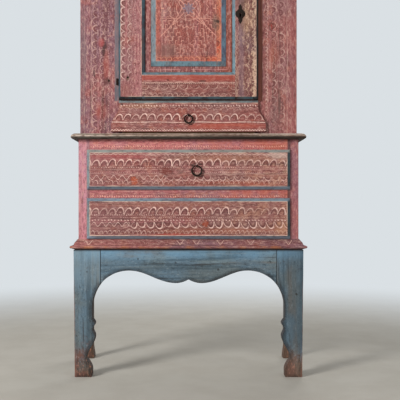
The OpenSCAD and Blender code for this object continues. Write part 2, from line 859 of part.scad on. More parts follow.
escutcheon_w = 40;
escutcheon_h = 80;
escutcheon_t = 2;
module escutcheon() {
    color(iron) difference() {
        translate([keyhole_x, 0, keyhole_z]) along_y(door_face_y - escutcheon_t, door_face_y)
            polygon([for (i = [0 : 23]) let (a = i * 15, c = cos(a), s = sin(a))
                [sign(c) * escutcheon_w / 2 * pow(abs(c), 1.7), sign(s) * escutcheon_h / 2 * pow(abs(s), 1.7)]]);
        keyhole(door_face_y - escutcheon_t - over, door_face_y + over);
    }
}

module bolt_slot(gap, x0, x1) {
    slab([x0, bolt_y - bolt_t / 2 - gap, bolt_z - bolt_h / 2 - gap], [x1, bolt_y + bolt_t / 2 + gap, bolt_z + bolt_h / 2 + gap]);
}

module lock_case() {
    z0 = keyhole_z + 4 - lock_h / 2;
    color(iron) difference() {
        slab([lock_x0, door_back_y, z0], [lock_x1, door_back_y + lock_t, z0 + lock_h]);
        slab([lock_x0 + lock_wall, door_back_y - over, z0 + lock_wall],
            [lock_x1 - lock_wall, door_back_y + lock_t - lock_wall, bolt_z - bolt_h / 2 - lock_wall]);
        slab([lock_x0 + lock_wall, door_back_y - over, bolt_z + bolt_h / 2 + lock_wall],
            [lock_x1 - lock_wall, door_back_y + lock_t - lock_wall, z0 + lock_h - lock_wall]);
        bolt_slot(bolt_slide_gap, lock_x0 + lock_wall, lock_x1 + over);
        keyhole(door_back_y + over, door_back_y + lock_t - lock_wall);
    }
}

module lock_bolt() {
    talon_w = 8;
    talon_h = 5;
    color(iron) difference() {
        bolt_slot(0, lock_x0 + lock_wall + bolt_slide_gap, lock_x1);
        slab([keyhole_x - talon_w / 2, bolt_y - bolt_t, bolt_z - bolt_h / 2 - over],
            [keyhole_x + talon_w / 2, bolt_y + bolt_t, bolt_z - bolt_h / 2 + talon_h]);
    }
}

// Hinges: a pintle driven through the cupboard's stile, and an eye let into the door's edge
module both_hinges() {
    for (side = [-1, 1]) translate([hinge_x, hinge_y, door_mid_z + side * hinge_drop - hinge_h / 2]) children();
}

hinge_split = hinge_h / 2;
pintle_reach = cupboard_frame_back_y - hinge_y;
pintle_clench = 28;
module pintle_spike() {
    slab([-hinge_spike_w / 2, 0, 1], [hinge_spike_w / 2, pintle_reach, 1 + hinge_spike_w]);
}

module hinge_pintles() {
    color(iron) both_hinges() {
        cylinder(h = hinge_split - hinge_gap, r = hinge_barrel_r);
        cylinder(h = hinge_h, r = hinge_pin_r);
        slab([-hinge_spike_w / 2, 0, 1], [hinge_spike_w / 2, pintle_reach + hinge_spike_w, 1 + hinge_spike_w]);
        slab([-hinge_spike_w / 2 - pintle_clench, pintle_reach, 1],
            [hinge_spike_w / 2, pintle_reach + hinge_tang_t, 1 + hinge_spike_w]);
    }
}

module eye_tang() {
    slab([hinge_barrel_r - 1, -hinge_tang_t / 2, hinge_split], [hinge_barrel_r + hinge_tang_l, hinge_tang_t / 2, hinge_h]);
}

module hinge_eyes() {
    color(iron) both_hinges() difference() {
        union() {
            translate([0, 0, hinge_split]) cylinder(h = hinge_h - hinge_split, r = hinge_barrel_r);
            eye_tang();
        }
        translate([0, 0, hinge_split - over])
            cylinder(h = hinge_h - hinge_split + 2 * over, r = hinge_pin_r + hinge_clearance);
    }
}

// Drawers. A drawer's box hangs on the tongue behind its lipped front.
// spec: half width of the opening, front plane, bottom of the opening, height of the opening
upper_spec = [drawer_opening_half, chest_y, upper_opening_z, upper_opening_h];
lower_spec = [drawer_opening_half, chest_y, lower_opening_z, lower_opening_h];
small_spec = [door_opening_half, cupboard_y, small_opening_z, small_opening_h];

function box_half(s) = s[0] - box_gap;
function box_y(s) = s[1] + drawer_tongue_t - rabbet_d;
function box_back_y(s) = inner_back_y - drawer_back_gap;
function box_top(s) = s[2] + s[3] - box_gap;

module drawer_tongue(s) {
    difference() {
        slab([-box_half(s), s[1] - over, s[2]], [box_half(s), s[1] + drawer_tongue_t, box_top(s)]);
        both_sides() slab([box_half(s) - box_t, box_y(s), s[2] - over], [box_half(s) + over, s[1] + far, box_top(s) + over]);
        bottom_panel(s);
    }
}

module bottom_panel(s) {
    slab([-(box_half(s) - box_t + groove_d), box_y(s) + rabbet_d - groove_d, s[2] + bottom_lift],
        [box_half(s) - box_t + groove_d, box_back_y(s), s[2] + bottom_lift + box_bottom_t]);
}

module box_sides(s) {
    color(bare_wood) difference() {
        both_sides() slab([box_half(s) - box_t, box_y(s), s[2]], [box_half(s), box_back_y(s), box_top(s)]);
        bottom_panel(s);
    }
}

module box_back(s) {
    color(bare_wood)
        slab([-(box_half(s) - box_t), box_back_y(s) - box_t, s[2] + bottom_lift + box_bottom_t],
            [box_half(s) - box_t, box_back_y(s), box_top(s) - 2 * box_gap]);
}

module box_bottom(s) {
    color(bare_wood) bottom_panel(s);
}

// Lipped front with a bevel all round, over the tongue
module bevelled_front(s) {
    half = s[0] + drawer_lip;
    z0 = s[2] - drawer_lip;
    z1 = s[2] + s[3] + drawer_lip;
    difference() {
        union() {
            intersection() {
                along_z(z0, z1) translate([0, s[1]]) polygon([
                    [-half, 0], [-half, drawer_bevel_d - drawer_proud], [-half + drawer_bevel_w, -drawer_proud],
                    [half - drawer_bevel_w, -drawer_proud], [half, drawer_bevel_d - drawer_proud], [half, 0]]);
                along_x(-half, half) translate([s[1], 0]) polygon([
                    [0, z0], [drawer_bevel_d - drawer_proud, z0], [-drawer_proud, z0 + drawer_bevel_w],
                    [-drawer_proud, z1 - drawer_bevel_w], [drawer_bevel_d - drawer_proud, z1], [0, z1]]);
            }
            drawer_tongue(s);
        }
        bottom_panel(s);
    }
}

module upper_drawer_front() {
    color(red) difference() {
        bevelled_front(upper_spec);
        staple_hole(upper_pull_x, chest_y - drawer_proud, upper_ring_top_z());
    }
}

module lower_drawer_front() {
    color(red) bevelled_front(lower_spec);
}

// Small drawer's front, with ogee ends and a bevelled top edge
small_top_half = door_opening_half + door_lip;
small_front_z0 = small_opening_z - door_lip;
small_front_z1 = small_opening_z + small_opening_h + door_lip;
ogee_top_z = small_front_z1 - 30;
ogee_foot_z = small_front_z0 + 26;
module small_drawer_outline() {
    steps = 16;
    edge = concat(
        [[small_top_half, small_front_z1]],
        [for (i = [0 : steps]) let (t = i / steps)
            [small_top_half + small_flare * ease(t), ogee_top_z + (ogee_foot_z - ogee_top_z) * t]],
        [[small_top_half + small_flare, small_front_z0]]);
    polygon(concat(edge, mirrored_points(edge)));
}

module small_drawer_front() {
    bevel_d = 9;
    color(red) difference() {
        union() {
            intersection() {
                along_y(cupboard_y - small_proud, cupboard_y) small_drawer_outline();
                along_x(-far, far) translate([cupboard_y, 0]) polygon([
                    [0, small_front_z0 - over], [-small_proud, small_front_z0 - over],
                    [-small_proud, small_front_z1 - small_bevel_w], [bevel_d - small_proud, small_front_z1],
                    [0, small_front_z1]]);
            }
            drawer_tongue(small_spec);
        }
        bottom_panel(small_spec);
        staple_hole(0, cupboard_y - small_proud, small_ring_top_z());
    }
}

module upper_drawer_sides() { box_sides(upper_spec); }
module upper_drawer_back() { box_back(upper_spec); }
module upper_drawer_bottom() { box_bottom(upper_spec); }
module lower_drawer_sides() { box_sides(lower_spec); }
module lower_drawer_back() { box_back(lower_spec); }
module lower_drawer_bottom() { box_bottom(lower_spec); }
module small_drawer_sides() { box_sides(small_spec); }
module small_drawer_back() { box_back(small_spec); }
module small_drawer_bottom() { box_bottom(small_spec); }

// Ring pulls. The staple's shank passes through the front and is clenched over inside it.
module staple_hole(x, face_y, z) {
    translate([x, face_y - over, z]) rotate([-90, 0, 0]) cylinder(h = 100, r = staple_wire_r + staple_hole_gap);
}

module staple(x, face_y, back, z) {
    eye_y = face_y - pull_stand;
    clench = 14;
    color(iron) {
        translate([x, eye_y, z]) rotate([0, 90, 0]) rotate_extrude() translate([staple_eye_r, 0]) circle(r = staple_wire_r, $fn = 24);
        translate([x, eye_y + staple_eye_r, z]) rotate([-90, 0, 0])
            cylinder(h = back + staple_wire_r - eye_y - staple_eye_r, r = staple_wire_r);
        translate([x, back + staple_wire_r, z - clench]) cylinder(h = clench, r = staple_wire_r);
    }
}

module ring(x, face_y, z, r) {
    color(iron) translate([x, face_y - pull_stand, z - r]) rotate([90, 0, 0])
        rotate_extrude() translate([r, 0]) circle(r = ring_wire_r, $fn = 24);
}

module upper_drawer_staple() {
    staple(upper_pull_x, chest_y - drawer_proud, chest_y + drawer_tongue_t, upper_ring_top_z());
}

module upper_drawer_ring() { ring(upper_pull_x, chest_y - drawer_proud, upper_ring_top_z(), upper_ring_r); }

module small_drawer_staple() {
    staple(0, cupboard_y - small_proud, cupboard_y + drawer_tongue_t, small_ring_top_z());
}

module small_drawer_ring() { ring(0, cupboard_y - small_proud, small_ring_top_z(), small_ring_r); }

stand_leg_front_left();
stand_leg_front_right();
stand_leg_rear_left();
stand_leg_rear_right();
stand_front_apron();
stand_side_aprons();
stand_rear_rail();
chest_side_left();
chest_side_right();
chest_bottom_board();
chest_back_planks();
chest_stile_left();
chest_stile_right();
chest_bottom_rail();
chest_middle_rail();
chest_top_rail();
drawer_runners();
base_moulding_front();
base_moulding_returns();
waist_board();
cupboard_side_left();
cupboard_side_right();
cupboard_bottom_board();
cupboard_floor();
cupboard_top_board();
cupboard_back_planks();
cupboard_stile_left();
cupboard_stile_right();
cupboard_middle_rail();
cupboard_top_rail();
shelf();
shelf_battens();
cornice_front();
cornice_returns();
door_stile_left();
door_stile_right();
door_bottom_rail();
door_top_rail();
door_panel();
escutcheon();
lock_case();
lock_bolt();
hinge_pintles();
hinge_eyes();
upper_drawer_front();
upper_drawer_sides();
upper_drawer_back();
upper_drawer_bottom();
lower_drawer_front();
lower_drawer_sides();
lower_drawer_back();
lower_drawer_bottom();
small_drawer_front();
small_drawer_sides();
small_drawer_back();
small_drawer_bottom();
upper_drawer_staple();
upper_drawer_ring();
small_drawer_staple();
small_drawer_ring();
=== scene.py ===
import json
import math

import bpy
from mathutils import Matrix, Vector


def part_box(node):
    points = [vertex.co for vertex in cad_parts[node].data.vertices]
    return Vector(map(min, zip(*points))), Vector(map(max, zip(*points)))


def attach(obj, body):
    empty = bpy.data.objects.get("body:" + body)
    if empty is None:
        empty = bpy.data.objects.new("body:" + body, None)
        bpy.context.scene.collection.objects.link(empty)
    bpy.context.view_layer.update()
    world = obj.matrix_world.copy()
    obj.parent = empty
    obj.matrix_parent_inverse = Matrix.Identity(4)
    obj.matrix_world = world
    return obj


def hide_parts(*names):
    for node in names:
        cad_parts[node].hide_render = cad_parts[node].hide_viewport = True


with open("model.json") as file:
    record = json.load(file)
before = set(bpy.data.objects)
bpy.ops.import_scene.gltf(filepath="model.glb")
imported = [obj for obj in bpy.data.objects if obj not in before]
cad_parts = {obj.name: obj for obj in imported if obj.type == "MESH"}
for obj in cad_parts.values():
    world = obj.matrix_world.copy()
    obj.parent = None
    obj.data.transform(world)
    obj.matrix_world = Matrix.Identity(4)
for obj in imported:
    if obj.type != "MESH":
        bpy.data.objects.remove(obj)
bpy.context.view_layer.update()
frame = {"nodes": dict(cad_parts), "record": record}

nodes = frame["nodes"]
bodies = frame["record"]["behaviour"]["bodies"]
body_of = {node: body for body, members in bodies.items() for node in members}
MM = 0.001
QUARTER_TURN = (math.pi / 2, 0, 0)

# Colours, as sRGB values from 0 to 255
PALE_CUT = (220, 178, 162)
CREAM = (228, 196, 176)
STRUCK = (246, 206, 192)
# The next tone is painted shade beside the drawers' gouge cuts
HOLLOW_SHADE = (92, 44, 46)
BRICK = (158, 92, 86)
MAUVE = (140, 96, 98)
PINK = (188, 118, 120)
DEEP_RED = (104, 52, 50)
OCHRE_WOOD = (168, 126, 88)
GREY_WOOD = (124, 110, 98)
DARK_WOOD = (70, 52, 42)
PALE_PINE = (172, 140, 102)
BACK_PINE = (150, 122, 92)
AGED_PINE = (146, 120, 94)
STAND_BLUE = (108, 144, 168)
STAND_GREY = (112, 130, 138)
BLUE_SHADE = (56, 74, 84)
LINE_BLUE = (112, 134, 138)
PANEL_BLUE = (98, 130, 142)
# Dark brown for dirt, and also for painted shade in gaps, grooves and under parts
GRIME_AND_SHADE = (46, 38, 34)
FOOT_RED = (120, 76, 60)
WAIST_GREY = (138, 122, 106)
IRON_BLACK = (34, 25, 21)
IRON_RUST = (74, 46, 33)
FLOOR_TONE = (196, 191, 180)
BACKDROP_TONE = (218, 224, 228)


def linear(rgb):
    """sRGB 0-255 to a linear RGBA colour."""
    return tuple((c / 255 / 12.92) if c <= 10 else ((c / 255 + 0.055) / 1.055) ** 2.4 for c in rgb) + (1.0,)


def set_all(item, **settings):
    """Set some of a Blender item's own values, and give the item back."""
    for key, value in settings.items():
        setattr(item, key, value)
    return item


class Value:
    """A node's output, worked out further with + - * / and abs, each of which adds a node."""

    def __init__(self, socket):
        self.socket, self.tree = socket, socket.id_data

    def __add__(self, other):
        return maths("ADD", self, other)

    def __radd__(self, other):
        return maths("ADD", other, self)

    def __sub__(self, other):
        return maths("SUBTRACT", self, other)

    def __rsub__(self, other):
        return maths("SUBTRACT", other, self)

    def __mul__(self, other):
        return maths("MULTIPLY", self, other)

    def __truediv__(self, other):
        return maths("DIVIDE", self, other)

    def __abs__(self):
        return maths("ABSOLUTE", self)


def add(tree, kind, **settings):
    return set_all(tree.nodes.new(kind), **settings)


def put(socket, value):
    """Feed a socket from another one, or with a plain number or colour."""
    if isinstance(value, Value):
        value = value.socket
    if isinstance(value, bpy.types.NodeSocket):
        socket.id_data.links.new(value, socket)
    else:
        socket.default_value = value


def maths(operation, a, b=0.0):
    node = add((a if isinstance(a, Value) else b).tree, "ShaderNodeMath", operation=operation)
    put(node.inputs[0], a)
    put(node.inputs[1], b)
    return Value(node.outputs[0])


def length(a, b):
    return maths("SQRT", a * a + b * b)


def highest(top, *others):
    for value in others:
        top = maths("MAXIMUM", top, value)
    return top


def lowest(low, *others):
    for value in others:
        low = maths("MINIMUM", low, value)
    return low


def step(value, start, end, at_start=0.0, at_end=1.0):
    """Smooth change from at_start to at_end while value goes from start to end, either way."""
    node = add(value.tree, "ShaderNodeMapRange", interpolation_type="SMOOTHSTEP")
    for socket, v in zip(node.inputs, (value, start, end, at_start, at_end)):
        put(socket, v)
    return Value(node.outputs[0])


def line(distance, half_width):
    """1 on a line, where distance is near 0."""
    return step(abs(distance), half_width * 1.2, half_width * 0.5)


def mix(factor, a, b):
    """From tone a to tone b; a plain tone is given as sRGB."""
    node = add(factor.tree, "ShaderNodeMix", data_type="RGBA")
    put(node.inputs[0], factor)
    for socket, tone in ((node.inputs[6], a), (node.inputs[7], b)):
        put(socket, linear(tone) if isinstance(tone, tuple) else tone)
    return Value(node.outputs[2])


def noise(place, scale, detail=3.0, roughness=0.55, distortion=0.0):
    node = add(place.tree, "ShaderNodeTexNoise")
    values = dict(Vector=place, Scale=scale, Detail=detail, Roughness=roughness, Distortion=distortion)
    for label, value in values.items():
        put(node.inputs[label], value)
    return Value(node.outputs["Fac"])


def mapped(place, factors, shift=(0.0, 0.0, 0.0)):
    node = add(place.tree, "ShaderNodeMapping")
    for label, value in (("Vector", place), ("Scale", factors), ("Location", shift)):
        put(node.inputs[label], value)
    return Value(node.outputs[0])


def parts_of(vector):
    """The x, y and z of a vector, or the red, green and blue of a colour."""
    colour = vector.socket.type == "RGBA"
    split = add(vector.tree, "ShaderNodeSeparateColor" if colour else "ShaderNodeSeparateXYZ")
    put(split.inputs[0], vector)
    return [Value(part) for part in split.outputs]


# Marks cut into the paint with gouges and a wheel: each group makes one kind of row
ROW_INPUTS = ["Along", "Across", "Pitch", "Height", "Stroke", "Seed"]


def new_group(name):
    tree = bpy.data.node_groups.new(name, "ShaderNodeTree")
    for label in ROW_INPUTS:
        tree.interface.new_socket(name=label, in_out="INPUT", socket_type="NodeSocketFloat")
    # Each row gives its cut and the painted shade beside that cut
    for label in ("Cut", "Shade"):
        tree.interface.new_socket(name=label, in_out="OUTPUT", socket_type="NodeSocketFloat")
    given, result = add(tree, "NodeGroupInput"), add(tree, "NodeGroupOutput")
    return [Value(given.outputs[label]) for label in ROW_INPUTS], result


def end_group(result, cut, shade):
    put(result.inputs[0], cut)
    put(result.inputs[1], shade)
    return result.id_data


def cells(along, pitch, seed):
    """Position inside one repeat, from -0.5 to 0.5, and three random values of that repeat."""
    count = along / pitch
    cell = maths("FLOOR", count)
    white = add(cell.tree, "ShaderNodeTexWhiteNoise", noise_dimensions="1D")
    put(white.inputs["W"], cell + seed)
    return [count - cell - 0.5, *parts_of(Value(white.outputs["Color"]))]


def wobble(random, amount):
    return (random - 0.5) * amount


def stroke_mask(distance, stroke):
    return step(abs(distance), stroke * 0.62, stroke * 0.3)


def make_scallops():
    """Arches struck with a round gouge, leaning a little, thicker on the right."""
    (along, across, pitch, height, stroke, seed), result = new_group("gouge_scallops")
    inside, r1, r2, r3 = cells(along, pitch, seed)
    v = across + wobble(r2, 0.2) * height
    x = (inside + wobble(r1, 0.14)) * pitch - v * 0.2
    radius = pitch * 0.46
    y = v * (radius / (height * (0.9 + r3 * 0.2)))
    off = length(x, y) - radius
    width = stroke * highest(1.0 + x / radius * 0.35, 0.6)
    above = step(v, 0.0, 0.002) * step(v, height * 1.5, height * 1.3)
    strength = 0.6 + r3 * 0.4
    # Painted shade inside each arch, beside the cut
    hollow_shade = step(off, stroke * -3.4, stroke * -1.4) * step(off, stroke * -0.2, stroke * -0.9)
    return end_group(result, stroke_mask(off, width) * above * strength, hollow_shade * above * strength)


def make_dashes():
    """Slanting beads, as from a wheel."""
    (along, across, pitch, height, _, seed), result = new_group("wheel_dashes")
    inside, r1, r2, r3 = cells(along + across * 0.35, pitch, seed)
    x = (inside + wobble(r1, 0.2)) / 0.27
    y = (across + wobble(r2, 0.4) * height) / (height * 0.5)
    reach = length(x, y)
    strength = 0.4 + r3 * 0.6
    below = length(x, y + 1.5)
    return end_group(result, step(reach, 1.1, 0.6) * strength, step(below, 1.2, 0.6) * 0.6)


def make_waves():
    """One wavy line."""
    (along, across, pitch, height, stroke, seed), result = new_group("wavy_line")
    turn = (along + seed) / pitch * (2 * math.pi)
    off = across - maths("SINE", turn) * height * 0.5
    return end_group(result, stroke_mask(off, stroke), stroke_mask(off + stroke, stroke) * 0.6)


def make_vees():
    """Separate V cuts, some of them missing."""
    (along, across, pitch, height, stroke, seed), result = new_group("vee_cuts")
    inside, r1, r2, _ = cells(along, pitch, seed)
    x = (inside + wobble(r1, 0.4)) * pitch
    off = (abs(x) * 1.3 - across) * 0.6
    between = step(across, 0.0, 0.001) * step(across, height, height * 0.8)
    there = step(r2, 0.35, 0.5)
    return end_group(result, stroke_mask(off, stroke) * between * there, 0.0)


ROWS = {"scallops": make_scallops(), "dashes": make_dashes(), "waves": make_waves(), "vees": make_vees()}


def row(kind, at, pitch, height, stroke, strength, seed=0, flip=False, span=None):
    """One level row of marks, in millimetres. at is how high its base line is above the cut's base."""
    return dict(kind=kind, at=at, pitch=pitch, height=height, stroke=stroke, strength=strength, seed=seed,
                flip=flip, span=span, upright=False)


def upright(rows):
    """The same rows standing up, with their base lines at x."""
    return [dict(spec, upright=True) for spec in rows]


SPAN_FADE = 15
GRAINS = {"x": (3.0, 75.0, 75.0), "y": (75.0, 3.0, 75.0), "z": (75.0, 75.0, 3.0)}
SPOTS = {"x": (52.0, 150.0, 150.0), "y": (150.0, 52.0, 150.0), "z": (150.0, 150.0, 52.0)}


class Finish:
    """One material, laid on from the wood outwards."""

    def __init__(self, name, grain="x", seed=0.0):
        self.material = bpy.data.materials.new(name)
        self.material.use_nodes = True
        self.tree = self.material.node_tree
        self.shader = self.tree.nodes["Principled BSDF"]
        place = Value(add(self.tree, "ShaderNodeTexCoord").outputs["Object"])
        self.x, self.y, self.z = parts_of(place)
        self.place = mapped(place, (1, 1, 1), (seed * 0.37, seed * 0.61, seed * 0.83))
        self.grain = noise(mapped(self.place, GRAINS[grain]), 1.0, 6.0, 0.62, 0.4)
        self.broad = noise(mapped(self.place, [f * 0.3 for f in GRAINS[grain]]), 1.0, 4.0, 0.6, 0.7)
        self.cloud = noise(self.place, 5.0, 4.0, 0.6)
        self.patch = noise(self.place, 19.0, 4.0, 0.65)
        self.spot = noise(mapped(self.place, SPOTS[grain]), 1.0, 3.0, 0.7)
        self.fine = noise(self.place, 330.0, 2.0, 0.6)
        self.colour = BRICK
        self.height = self.grain * 0.5 + self.fine * 0.25

    def tint(self, mask, rgb, amount=1.0):
        if amount != 1.0:
            mask = mask * amount
        self.colour = mix(mask, self.colour, rgb)

    def wash(self, *tones, within=None):
        """Tones laid on one after another, each where a value goes from start to end."""
        for value, start, end, rgb, amount in tones:
            mask = step(value, start, end)
            self.tint(within * mask if within else mask, rgb, amount)

    def mottle(self, main, second, third, depth=1.0):
        """Old distemper: clouds of three tones, streaks along the grain, spots of dirt and rubbed paint."""
        self.colour = mix(step(self.cloud, 0.4, 0.6), main, second)
        self.wash(
            (self.patch, 0.5, 0.68, third, 0.6),
            (self.broad, 0.46, 0.34, DEEP_RED, 0.5 * depth),
            (self.broad, 0.54, 0.66, PINK, 0.45 * depth),
            (self.spot, 0.5, 0.38, DEEP_RED, 0.62 * depth),
            (self.spot, 0.53, 0.64, PALE_CUT, 0.5 * depth),
            (self.grain, 0.42, 0.32, GRIME_AND_SHADE, 0.6 * depth),
            (self.grain, 0.58, 0.68, PALE_CUT, 0.25 * depth),
            (self.fine, 0.58, 0.68, GRIME_AND_SHADE, 0.5 * depth),
            (self.fine, 0.42, 0.32, PALE_CUT, 0.4 * depth))

    def cut(self, marks, pale=PALE_CUT, shade=DEEP_RED, base=0.0):
        """Rows of gouge cuts, broken where they have worn away, each with painted shade beside it."""
        cuts, shades = [], []
        for spec in marks:
            along, across = (self.z, self.x) if spec["upright"] else (self.x, self.z)
            side = across - (base + spec["at"]) * MM
            if spec["flip"]:
                side = side * -1.0
            node = add(self.tree, "ShaderNodeGroup", node_tree=ROWS[spec["kind"]])
            sizes = [spec[key] * MM for key in ("pitch", "height", "stroke")]
            for socket, value in zip(node.inputs, (along, side, *sizes, float(spec["seed"]))):
                put(socket, value)
            limit = spec["strength"]
            if spec["span"]:
                a, b = spec["span"]
                limit = (step(along, (a - SPAN_FADE) * MM, (a + SPAN_FADE) * MM)
                         * step(along, (b + SPAN_FADE) * MM, (b - SPAN_FADE) * MM) * limit)
            cuts.append(Value(node.outputs[0]) * limit)
            shades.append(Value(node.outputs[1]) * limit)
        worn = (step(noise(self.place, 140.0, 2.0), 0.34, 0.46, 0.3, 1.0)
                * step(noise(self.place, 8.0, 3.0), 0.34, 0.5, 0.4, 1.0))
        mask = highest(*cuts) * worn
        # Painted shade beside the cuts first, then the pale cuts
        self.tint(highest(*shades), shade, 0.62)
        self.tint(mask, pale, 1.0)
        self.height = self.height - mask * 0.9

    def depth_in(self, x0, x1, z0, z1):
        """Distance in from the sides of the box x0 to x1, z0 to z1 (millimetres given, metres out)."""
        return lowest(self.x - x0 * MM, x1 * MM - self.x, self.z - z0 * MM, z1 * MM - self.z)

    def inside_bevel(self, low, high, bevel):
        return self.depth_in(low[0] + bevel, high[0] - bevel, low[2] + bevel, high[2] - bevel)

    def blue_outside(self, depth, tone=LINE_BLUE, far=-1.0):
        """Blue-grey paint where depth is below 0, down to far; gives back where it lies."""
        blue = mix(step(self.patch, 0.4, 0.62), tone, BLUE_SHADE)
        blue = mix(step(self.grain, 0.5, 0.66, 0.0, 0.55), blue, GREY_WOOD)
        blue = mix(step(self.spot, 0.54, 0.66, 0.0, 0.35), blue, STAND_BLUE)
        blue = mix(step(self.spot, 0.44, 0.32, 0.0, 0.55), blue, GRIME_AND_SHADE)
        blue = mix(step(self.patch, 0.5, 0.64) * step(self.grain, 0.44, 0.58) * 0.5, blue, (146, 108, 104))
        wavering = depth + (self.patch - 0.5) * 0.003
        mask = step(wavering, 0.0004, -0.0004) * step(wavering, far - 0.0004, far + 0.0004)
        self.colour = mix(mask * 0.94, self.colour, blue)
        return mask

    def sides(self, mask, z_low, z_high, left, right, top, foot):
        """Tones of a bevel's sides, by the way each catches the light: colour and amount, or None."""
        up = step(self.z, (z_high - 1) * MM, (z_high + 1) * MM)
        down = step(self.z, (z_low + 1) * MM, (z_low - 1) * MM)
        level = 1.0 - highest(up, down)
        places = (level * step(self.x, 0.001, -0.001), level * step(self.x, -0.001, 0.001), up, down)
        for place, tone in zip(places, (left, right, top, foot)):
            if tone:
                broken = step(self.spot, 0.36, 0.52, 0.5, 1.0) * step(self.broad, 0.36, 0.54, 0.5, 1.0)
                self.tint(mask * place * broken, tone[0], tone[1])

    def arris(self, depth, width=2.0, amount=0.8, rgb=CREAM):
        """A pale line where an edge has been rubbed, strong in some stretches and gone in others."""
        kept = step(noise(self.place, 11.0, 4.0, 0.7), 0.4, 0.58, 0.05, 1.0)
        mask = line(depth, width * MM) * kept * step(self.spot, 0.3, 0.46, 0.3, 1.0)
        self.tint(mask, rgb, amount)

    def unpainted(self, mask, tone=PALE_PINE):
        """Bare pine, browned by age, on the sides that never were painted."""
        wood = mix(step(self.cloud, 0.36, 0.64), tone, AGED_PINE)
        wood = mix(step(self.grain, 0.5, 0.36, 0.0, 0.55), wood, DARK_WOOD)
        wood = mix(step(self.broad, 0.46, 0.6, 0.0, 0.45), wood, (120, 86, 58))
        self.colour = mix(mask, self.colour, wood)

    def unpainted_back(self, node, ahead=1.5):
        """Bare wood from a little in front of a piece's rear side on."""
        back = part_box(node)[1].y - ahead * MM
        self.unpainted(step(self.y, back - 0.0005, back + 0.0005))

    def reach(self, x, z, wide, tall, ragged):
        """Distance from a point in millimetres, 1 at a ragged ellipse round it."""
        across, up = (self.x - x * MM) / (wide * MM), (self.z - z * MM) / (tall * MM)
        return length(across, up) + (self.patch - 0.5) * ragged

    def knot(self, x, z, wide, tall, rgb=DEEP_RED, amount=0.85, rim=0.45):
        """A knot, with a dark ring round it."""
        reach = self.reach(x, z, wide, tall, 2.4) + (self.spot - 0.5) * 1.8
        self.tint(step(reach, 1.25, 0.4) * step(self.grain, 0.34, 0.54, 0.55, 1.0), rgb, amount)
        self.tint(line(reach - 0.95, 0.2), GRIME_AND_SHADE, rim)

    def area(self, x, z, wide, tall, rgb, amount, ragged=1.4):
        """A soft irregular area of another tone."""
        reach = self.reach(x, z, wide, tall, ragged)
        self.tint(step(reach, 1.3, 0.4) * step(self.grain, 0.34, 0.56, 0.45, 1.0), rgb, amount)

    def rub(self, wood=OCHRE_WOOD, amount=0.5, level=0.62):
        """Paint rubbed through to the wood in places, along the grain."""
        thin = step(noise(self.place, 3.4, 5.0, 0.68), level, level + 0.14) * step(self.grain, 0.36, 0.58)
        self.tint(thin, wood, amount)
        self.height = self.height - thin * 0.3

    def corners(self, rgb=DARK_WOOD, amount=0.7, radius=3.0, kept=0.12, where=1.0,
                flat_to_full=(0.99, 0.88)):
        """Paint gone from corners, in chips, where a rounded normal leans off the flat one."""
        rounded = add(self.tree, "ShaderNodeBevel", samples=4)
        put(rounded.inputs["Radius"], radius * MM)
        dot = add(self.tree, "ShaderNodeVectorMath", operation="DOT_PRODUCT")
        put(dot.inputs[0], rounded.outputs[0])
        put(dot.inputs[1], self.normal())
        edge = step(Value(dot.outputs["Value"]), *flat_to_full)
        chipped = edge * step(noise(self.place, 38.0, 3.0, 0.65), 0.4, 0.56, kept, 1.0)
        self.tint(chipped * where, rgb, amount)

    def normal(self):
        return Value(add(self.tree, "ShaderNodeNewGeometry").outputs["Normal"])

    def facing(self, axis):
        """How far a face looks along an axis, from -1 to 1."""
        return parts_of(self.normal())[axis]

    def close(self, rough=(0.62, 0.86), specular=0.26, bump=0.45, bump_distance=0.0014):
        """Lead colour, roughness and relief to the shader."""
        node = add(self.tree, "ShaderNodeBump")
        for socket, value in ((node.inputs["Strength"], bump), (node.inputs["Distance"], bump_distance),
                              (node.inputs["Height"], self.height),
                              (self.shader.inputs["Base Color"], self.colour),
                              (self.shader.inputs["Roughness"], step(self.fine, 0.25, 0.75, *rough)),
                              (self.shader.inputs["Specular IOR Level"], specular),
                              (self.shader.inputs["Normal"], node.outputs[0])):
            put(socket, value)
        return self.material


def span_of(node):
    """Lowest and highest corner of a node, in millimetres."""
    low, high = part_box(node)
    return [c / MM for c in low], [c / MM for c in high]


def ground(node, grain, seed, tones, depth=1.0):
    """A finish named after its node, with the mottled first coat on."""
    f = Finish(node + "_paint", grain, seed)
    f.mottle(*tones, depth)
    return f


# Painted parts of the case
def red_boards(name, grain, seed, marks=None, inside=None):
    """Plain red boards; inside a distance from the middle, in millimetres, they are bare."""
    f = Finish(name, grain, seed)
    f.mottle((150, 88, 84), (134, 90, 92), (160, 92, 76), 0.6)
    streak = noise(mapped(f.place, [c * 0.55 for c in GRAINS[grain]]), 1.0, 5.0, 0.6, 0.3)
    f.wash(
        (streak, 0.46, 0.36, (92, 52, 50), 0.5),
        (streak, 0.56, 0.66, (176, 124, 112), 0.4))
    if marks:
        f.cut(marks)
    f.rub(amount=0.45)
    f.corners()
    if inside:
        f.unpainted(step(abs(f.x), inside * MM, (inside - 1) * MM))
    return f.close()


def chest_stile(node, side, tones, seed):
    """Rose-pink upright beside the drawers, with painted shadow beside the drawers' lips, deeper on the
    right.
    """
    f = ground(node, "z", seed, tones, 0.75)
    lip = span_of("upper_drawer_front")[1][0]
    off = f.x * float(side) - lip * MM
    # Painted shadow cast by the drawer lips: faint on the left stile, deep on the right one
    f.tint(step(off, 0.005, 0.0), GRIME_AND_SHADE, 0.25 if side < 0 else 0.6)
    f.rub(amount=0.3)
    f.corners()
    return f.close()


